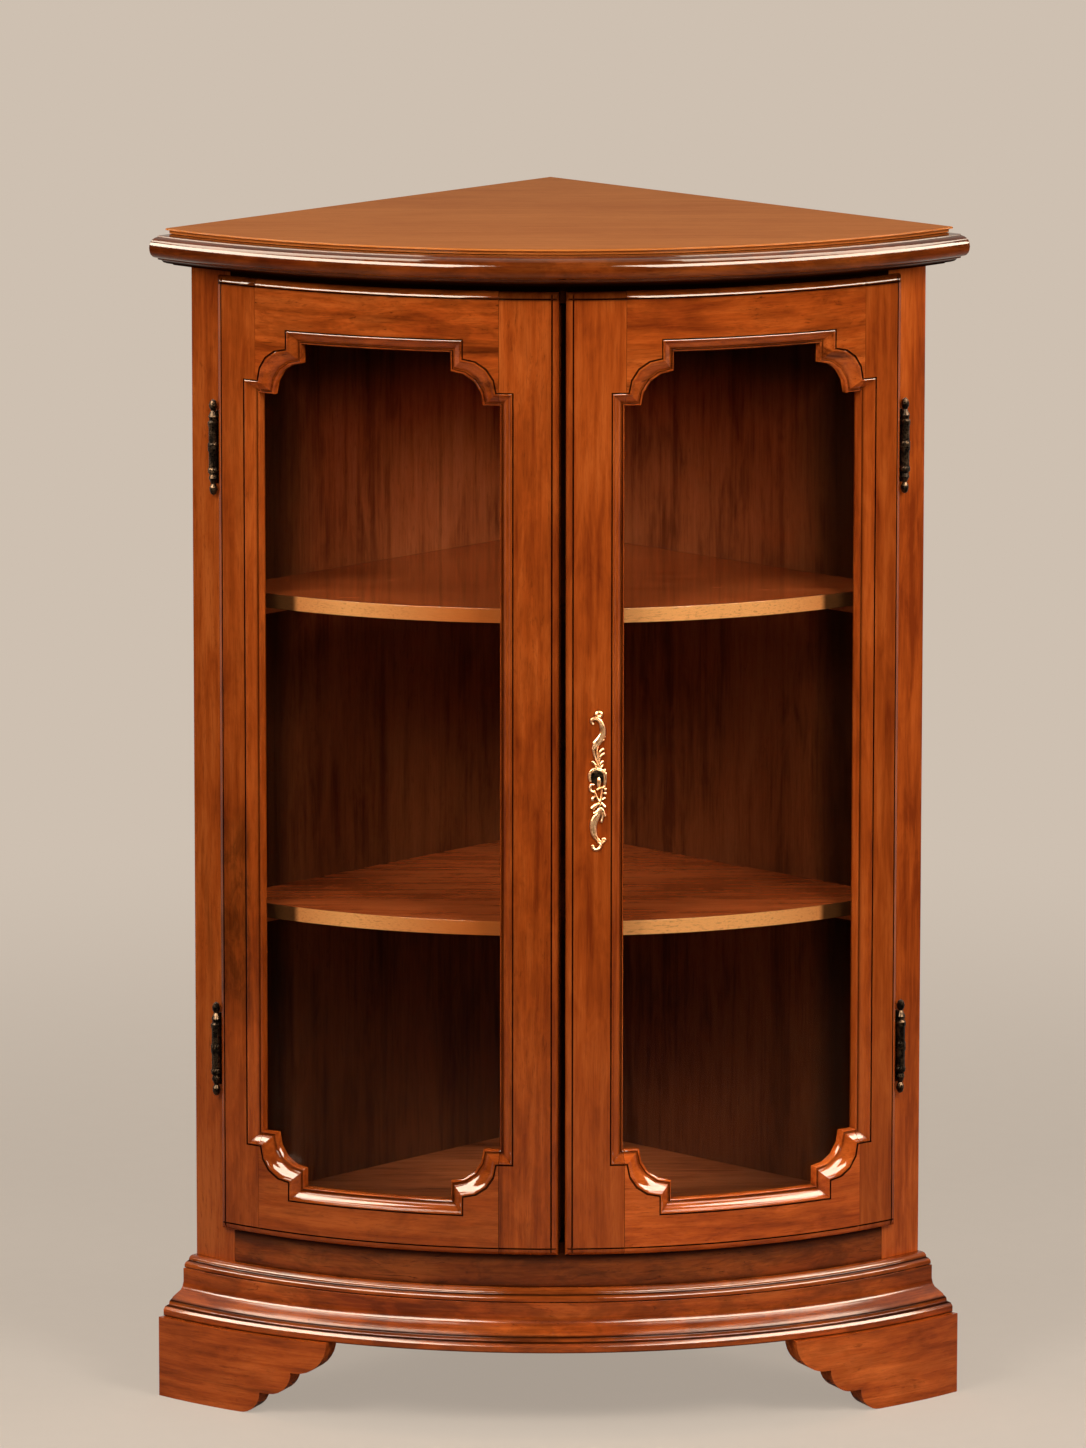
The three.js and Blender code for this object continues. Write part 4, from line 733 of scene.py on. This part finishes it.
# The cast escutcheon, drawn on the door's face in millimetres across and up from the ring's middle
# A limb is fluted or not, and its points follow, each with its half width
# A dome has a middle, a radius and a pit, and GROUND is the dark disc behind the keyhole
RELIEF = 2.3
LIMBS = {
    "upper_scroll": (True, (
        (-4.1, 50.9, 0.8), (-6.3, 53.1, 1.1), (-5.5, 55.6, 1.5), (-2.2, 56.5, 1.6), (1.3, 54.5, 1.8),
        (3.3, 50.5, 2.2), (4.3, 46.0, 2.5), (3.9, 41.3, 2.9), (1.6, 36.8, 3.3), (-1.2, 33.3, 3.3),
        (-3.1, 30.2, 2.2), (-3.6, 27.7, 1.4),
    )),
    "neck": (False, ((2.0, 57.3, 1.0), (1.4, 56.5, 1.1), (0.9, 55.8, 1.2))),
    "left_stem": (False, (
        (-5.1, 28.9, 0.9), (-4.0, 24.4, 1.0), (-2.1, 18.7, 1.0), (-0.3, 14.0, 1.1), (0.7, 9.5, 1.2),
    )),
    "inner_stem": (False, ((-0.3, 29.6, 0.7), (-1.2, 25.3, 0.8), (-0.3, 19.7, 0.8), (0.9, 14.0, 0.9))),
    "right_leaf_top": (False, ((0.3, 19.7, 0.8), (1.4, 24.4, 1.0), (3.3, 26.8, 1.2), (5.4, 27.8, 1.4))),
    "right_leaf_middle": (False, ((0.7, 14.8, 0.8), (2.0, 20.1, 1.0), (4.1, 22.7, 1.2), (6.1, 23.4, 1.4))),
    "right_leaf_low": (False, ((1.6, 9.9, 0.8), (2.6, 13.9, 1.0), (5.0, 16.2, 1.4))),
    "right_sprig": (False, ((2.2, 9.3, 0.8), (3.5, 11.2, 0.9), (4.8, 12.7, 0.9))),
    "left_leaf": (False, ((-0.3, 10.1, 0.8), (-3.1, 13.3, 1.2), (-5.7, 16.1, 1.4))),
    "first_notch": (False, ((4.0, 41.9, 0.8), (5.0, 42.7, 0.9), (6.1, 43.4, 1.0))),
    "second_notch": (False, ((4.1, 38.1, 0.8), (5.4, 38.9, 0.9), (6.6, 39.6, 1.0))),
    "third_notch": (False, ((2.6, 35.1, 0.8), (4.1, 35.8, 0.9), (5.6, 36.4, 1.0))),
    "left_notch": (False, ((-2.7, 32.8, 0.8), (-3.8, 33.7, 0.9), (-4.8, 34.5, 1.0))),
    "ring": (True, (
        (-7.0, -2.9, 1.0), (-8.0, 0.9, 1.3), (-7.3, 5.1, 1.5), (-4.6, 8.0, 1.6), (-1.0, 8.8, 1.6),
        (2.8, 7.6, 1.6), (5.6, 5.1, 1.6), (6.6, 0.9, 1.4), (6.4, -3.8, 1.2), (6.0, -7.6, 1.0),
    )),
    "drop": (False, ((0.5, 0.9, 0.7), (0.7, -1.4, 1.7), (0.7, -4.0, 2.0), (0.5, -7.2, 1.4), (0.5, -9.3, 0.8))),
    "left_curl": (False, (
        (-3.8, -6.4, 1.0), (-6.0, -5.9, 1.2), (-7.3, -8.4, 1.2), (-6.7, -11.6, 1.2), (-4.4, -12.8, 1.1),
        (-2.8, -11.4, 0.9),
    )),
    "cross_bar": (False, ((-1.5, -11.1, 1.0), (1.3, -9.6, 1.4), (4.5, -8.9, 1.2), (6.4, -7.3, 1.0))),
    "low_left_stem": (False, ((-3.3, -12.8, 1.1), (-1.9, -16.2, 1.1), (-0.1, -19.8, 1.1), (1.7, -22.6, 1.3))),
    "low_right_stem": (False, ((3.1, -9.6, 1.0), (3.6, -13.5, 1.0), (3.1, -18.0, 1.1), (1.9, -22.6, 1.3))),
    "small_curl": (False, ((-1.7, -17.1, 0.8), (-3.5, -17.6, 1.0), (-5.2, -19.2, 1.2), (-5.1, -21.4, 1.0))),
    "right_twig": (False, ((3.5, -20.3, 0.8), (5.2, -19.4, 1.0), (6.6, -18.3, 1.1))),
    "low_left_leaf": (False, ((1.7, -23.5, 1.0), (-0.8, -24.6, 1.6), (-3.5, -26.7, 2.0), (-5.8, -28.8, 1.9))),
    "lower_left_leaf": (False, ((2.2, -24.2, 1.0), (1.5, -28.3, 1.2), (-0.8, -31.5, 1.6), (-4.0, -33.4, 1.6))),
    "low_right_leaf": (False, ((2.9, -23.0, 1.0), (4.9, -25.6, 1.3), (6.6, -27.4, 1.3))),
    "lower_right_leaf": (False, ((3.6, -28.3, 0.9), (5.2, -31.8, 1.2), (6.3, -36.1, 1.4))),
    "lowest_leaf": (False, ((3.5, -32.2, 0.8), (4.2, -36.3, 1.0), (3.1, -41.8, 1.2))),
    "lower_scroll": (True, (
        (3.1, -27.8, 1.2), (1.0, -33.1, 2.2), (-2.2, -37.7, 3.2), (-4.0, -42.0, 3.3), (-4.4, -46.4, 3.0),
        (-4.0, -50.9, 2.7), (-2.6, -55.1, 2.2), (-0.1, -58.5, 1.7), (2.8, -60.6, 1.3), (5.0, -60.8, 1.2),
    )),
    "hook": (False, (
        (-5.5, -63.3, 1.1), (-4.4, -66.3, 1.4), (-1.5, -67.6, 1.4), (1.5, -66.0, 1.5), (2.2, -62.9, 1.4),
        (0.3, -60.6, 1.1),
    )),
}
DOMES = (
    (0.7, 60.1, 3.9, 1.5), (5.9, 7.5, 1.5, 0.0), (6.9, 4.4, 1.3, 0.0), (6.9, 1.2, 1.2, 0.0),
    (6.6, -10.5, 1.5, 0.0), (6.5, -14.4, 1.6, 0.0), (5.4, -58.5, 2.4, 0.9), (-4.9, -64.2, 1.5, 0.0),
)
GROUND = (-0.6, 0.3, 6.6, 0.0)
GROUND_RISE = 0.25
CAST_SCALE = 0.985
CAST_LIFT = 0.0004
MILLIMETRE = 0.001
CAST_STEPS = 6
CAST_SIDES = 10
LIMB_FULLNESS = 0.8
LIMB_RISE, LIMB_RISE_SHARE = 0.5, 1.1
FLUTE_SHARE, FLUTE_WIDTH_SHARE = 0.45, 0.28
DOME_RISE_SHARE = 1.1
DOME_MARGIN = 0.2

# A dome's outline from its rim inwards: shares of its radius and of its height, then the height in its middle
DOME_SHARES = ((1.0, 0.0), (0.97, 0.4), (0.86, 0.75), (0.7, 0.95), (0.5, 1.0))
CROWN_SHARES, CROWN_MIDDLE_SHARE = ((0.25, 1.08),), 1.1
PIT_SHARES, PIT_MIDDLE_SHARE = ((0.34, 0.75), (0.2, 0.35)), 0.25


def spline(points, steps):
    """Points on a smooth curve through the given ones."""
    line = []
    ends = [points[0], *points, points[-1]]
    for before, start, end, after in zip(ends, ends[1:], ends[2:], ends[3:]):
        for step in range(steps):
            t = step / steps
            line.append([
                0.5 * (2 * b + (c - a) * t + (2 * a - 5 * b + 4 * c - d) * t * t + (3 * b - a - 3 * c + d) * t**3)
                for a, b, c, d in zip(before, start, end, after)
            ])
    line.append(list(points[-1]))
    return line


def limb(fluted, points):
    """A rounded, tapering limb with closed ends: vertices (across, up, out) and faces."""
    line = spline(points, CAST_STEPS)
    vertices, faces = [], []
    for i, (x, z, half) in enumerate(line):
        ahead, behind = line[min(i + 1, len(line) - 1)], line[max(i - 1, 0)]
        way = Vector((ahead[0] - behind[0], ahead[1] - behind[1])).normalized()
        for side in range(CAST_SIDES):
            turn = math.pi * side / (CAST_SIDES - 1)
            out = math.sin(turn) ** LIMB_FULLNESS * min(RELIEF, LIMB_RISE + LIMB_RISE_SHARE * half)
            if fluted:
                out *= 1.0 - FLUTE_SHARE * math.exp(-((math.cos(turn) / FLUTE_WIDTH_SHARE) ** 2))
            vertices.append((x - way.y * half * math.cos(turn), z + way.x * half * math.cos(turn), out))
    for i in range(len(line) - 1):
        for side in range(CAST_SIDES):
            a, b = i * CAST_SIDES + side, i * CAST_SIDES + (side + 1) % CAST_SIDES
            faces.append((a, b, b + CAST_SIDES, a + CAST_SIDES))
    faces.append(tuple(range(CAST_SIDES))[::-1])
    faces.append(tuple(range(len(line) * CAST_SIDES - CAST_SIDES, len(line) * CAST_SIDES)))
    return vertices, faces


def dome(x, z, radius, pit):
    """A round boss, with a dimple in its middle where pit is more than nothing."""
    profile = DOME_SHARES + (PIT_SHARES if pit else CROWN_SHARES)
    centre = PIT_MIDDLE_SHARE if pit else CROWN_MIDDLE_SHARE
    tall = min(RELIEF - DOME_MARGIN, DOME_RISE_SHARE * radius)
    vertices, faces = [], []
    around = 2 * CAST_SIDES
    for share, out in profile:
        for side in range(around):
            turn = 2 * math.pi * side / around
            across, up = share * radius * math.cos(turn), share * radius * math.sin(turn)
            vertices.append((x + across, z + up, out * tall))
    for ring in range(len(profile) - 1):
        for side in range(around):
            a, b = ring * around + side, ring * around + (side + 1) % around
            faces.append((a, b, b + around, a + around))
    vertices.append((x, z, centre * tall))
    last = (len(profile) - 1) * around
    faces += [(last + side, last + (side + 1) % around, len(vertices) - 1) for side in range(around)]
    faces.append(tuple(range(around))[::-1])
    return vertices, faces


def escutcheon():
    """The cast scrollwork, bent to the bow of the right door."""
    low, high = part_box("escutcheon")
    middle = (low + high) / 2
    reach = DOOR_RADIUS + CAST_LIFT
    angle = math.asin(middle.x / reach)
    rows = [(*limb(fluted, points), 1.0) for fluted, points in LIMBS.values()]
    rows += [(*dome(*row), 1.0) for row in DOMES]
    rows.append((*dome(*GROUND), GROUND_RISE))
    ground = sum(len(row[1]) for row in rows[:-1])
    tops = [v[1] for row in rows for v in row[0]]
    sides = [v[0] for row in rows for v in row[0]]
    centre_up, centre_across = (max(tops) + min(tops)) / 2, (max(sides) + min(sides)) / 2
    points, faces = [], []
    for vertices, polygons, rise in rows:
        start = len(points)
        for across, up, out in vertices:
            turn = angle + CAST_SCALE * MILLIMETRE * (across - centre_across) / reach
            radius = reach + MILLIMETRE * rise * out
            points.append((
                radius * math.sin(turn),
                CORNER_Y - radius * math.cos(turn),
                middle.z + CAST_SCALE * MILLIMETRE * (up - centre_up),
            ))
        faces += [tuple(start + i for i in polygon) for polygon in polygons]
    mesh = bpy.data.meshes.new("cast_escutcheon")
    mesh.from_pydata(points, [], faces)
    mesh.materials.append(gilt)
    mesh.materials.append(bronze)
    for polygon in list(mesh.polygons)[ground:]:
        polygon.material_index = 1
    mesh.shade_smooth()
    obj = bpy.data.objects.new("cast_escutcheon", mesh)
    bpy.context.scene.collection.objects.link(obj)
    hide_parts("escutcheon")
    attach(obj, "right_door")


escutcheon()


# Floor, backdrop and light

def seen_rays(tree, behind):
    """1 for the rays that see the backdrop: camera, mirror-like and see-through ones.

    The second value dims the unlit studio in front of the paper, where only reflections reach it.
    """
    path = tree.nodes.new("ShaderNodeLightPath")
    camera = path.outputs["Is Camera Ray"]
    mirrored = tree.math("MAXIMUM", path.outputs["Is Glossy Ray"], path.outputs["Is Transmission Ray"])
    return tree.math("MAXIMUM", camera, mirrored), tree.math("MAXIMUM", camera, behind)


def pale_floor():
    """Paper that is lit near the object, and glows like the backdrop far from it."""
    tree = Tree(bpy.data.materials.new("floor_paper"))
    place = tree.add("ShaderNodeTexCoord", output="Object")
    tooth = tree.noise(place, *TOOTH)
    distance = tree.add("ShaderNodeVectorMath", {0: place}, output="Value", operation="LENGTH")
    behind = tree.span(tree.split(place)[1], *DIM_FLOOR_SPAN, DIM, 1.0)
    seen, shown = seen_rays(tree, behind)
    far = tree.span(distance, FLOOR_NEAR, FLOOR_FAR)
    glow = tree.math("MULTIPLY", tree.span(distance, FLOOR_NEAR, FLOOR_FAR, FLOOR_GLOW, 1.0), shown)
    lit = tree.mix(far, tuple(FLOOR_LIT * c for c in BACKDROP), (0.0, 0.0, 0.0))
    lit = tree.mix(tree.span(tooth, *TOOTH_SPAN), lit, (0.0, 0.0, 0.0))
    shade = tree.add("ShaderNodeBsdfDiffuse", {"Color": lit})
    shine = tree.add("ShaderNodeEmission", {"Color": BACKDROP, "Strength": glow})
    pale = tree.add("ShaderNodeAddShader", {0: shade, 1: shine})
    plain = tree.add("ShaderNodeBsdfDiffuse", {"Color": tuple(FLOOR_PLAIN * c for c in BACKDROP)})
    return tree.surface(tree.add("ShaderNodeMixShader", {0: seen, 1: plain, 2: pale}))


def floor_sheet():
    mesh = bpy.data.meshes.new("studio_floor")
    half = FLOOR_SIZE / 2
    low = cad_box[0].z - FLOOR_DROP
    corners = [(-half, -half, low), (half, -half, low), (half, half, low), (-half, half, low)]
    mesh.from_pydata(corners, [], [(0, 1, 2, 3)])
    mesh.materials.append(pale_floor())
    obj = bpy.data.objects.new("studio_floor", mesh)
    bpy.context.scene.collection.objects.link(obj)


def backdrop_world():
    """A pale backdrop for seen rays, and a weak even light for the others."""
    tree = Tree(bpy.data.worlds.new("studio"))
    direction = tree.add("ShaderNodeTexCoord", output="Generated")
    behind = tree.span(tree.split(direction)[1], *DIM_WORLD_SPAN, DIM, 1.0)
    seen, shown = seen_rays(tree, behind)
    fill = tree.add("ShaderNodeBackground", {"Color": AMBIENT_COLOUR, "Strength": AMBIENT})
    paper = tree.add("ShaderNodeBackground", {"Color": BACKDROP, "Strength": shown})
    mixed = tree.add("ShaderNodeMixShader", {0: seen, 1: fill, 2: paper})
    bpy.context.scene.world = tree.surface(mixed, "ShaderNodeOutputWorld")


def softbox(name, azimuth, elevation, distance, width, height, radiance, lights, shines):
    """A rectangular lamp that faces the object; azimuth 0 is in front and positive to the right.

    It lights the object, shines in its polish, or both.
    """
    data = bpy.data.lights.new(name, "AREA")
    data.shape = "RECTANGLE"
    data.size = width
    data.size_y = height
    data.color = SHINE_COLOUR if shines else LAMP_COLOUR
    data.energy = radiance * math.pi * width * height
    obj = bpy.data.objects.new(name, data)
    a, e = math.radians(azimuth), math.radians(elevation)
    back = Vector((math.sin(a) * math.cos(e), -math.cos(a) * math.cos(e), math.sin(e)))
    obj.location = TARGET + back * distance
    obj.rotation_mode = "QUATERNION"
    obj.rotation_quaternion = back.to_track_quat("Z", "Y")
    obj.visible_camera = False
    obj.visible_diffuse = lights
    obj.visible_glossy = shines
    obj.visible_transmission = False
    bpy.context.scene.collection.objects.link(obj)


def photo_camera():
    """The camera that looks as the photograph's does."""
    yaw, pitch, roll = CAMERA_YAW, CAMERA_PITCH, CAMERA_ROLL
    ahead = Vector((-math.sin(yaw) * math.cos(pitch), math.cos(yaw) * math.cos(pitch), -math.sin(pitch)))
    right = Vector((math.cos(yaw), math.sin(yaw), 0.0))
    up = right.cross(ahead)
    side = right * math.cos(roll) + up * math.sin(roll)
    top = up * math.cos(roll) - right * math.sin(roll)
    data = bpy.data.cameras.new("photo_camera")
    data.sensor_width = CAMERA_SENSOR
    data.lens = CAMERA_LENS
    data.clip_start = 0.1
    data.clip_end = 200.0
    obj = bpy.data.objects.new("photo_camera", data)
    turn = Matrix((side, top, -ahead)).transposed()
    obj.matrix_world = Matrix.Translation(CAMERA_PLACE) @ turn.to_4x4()
    bpy.context.scene.collection.objects.link(obj)
    bpy.context.scene.camera = obj


floor_sheet()
backdrop_world()
for name, lamp in LAMPS.items():
    softbox(name, *lamp)
photo_camera()
bpy.context.scene.view_settings.view_transform = "Standard"
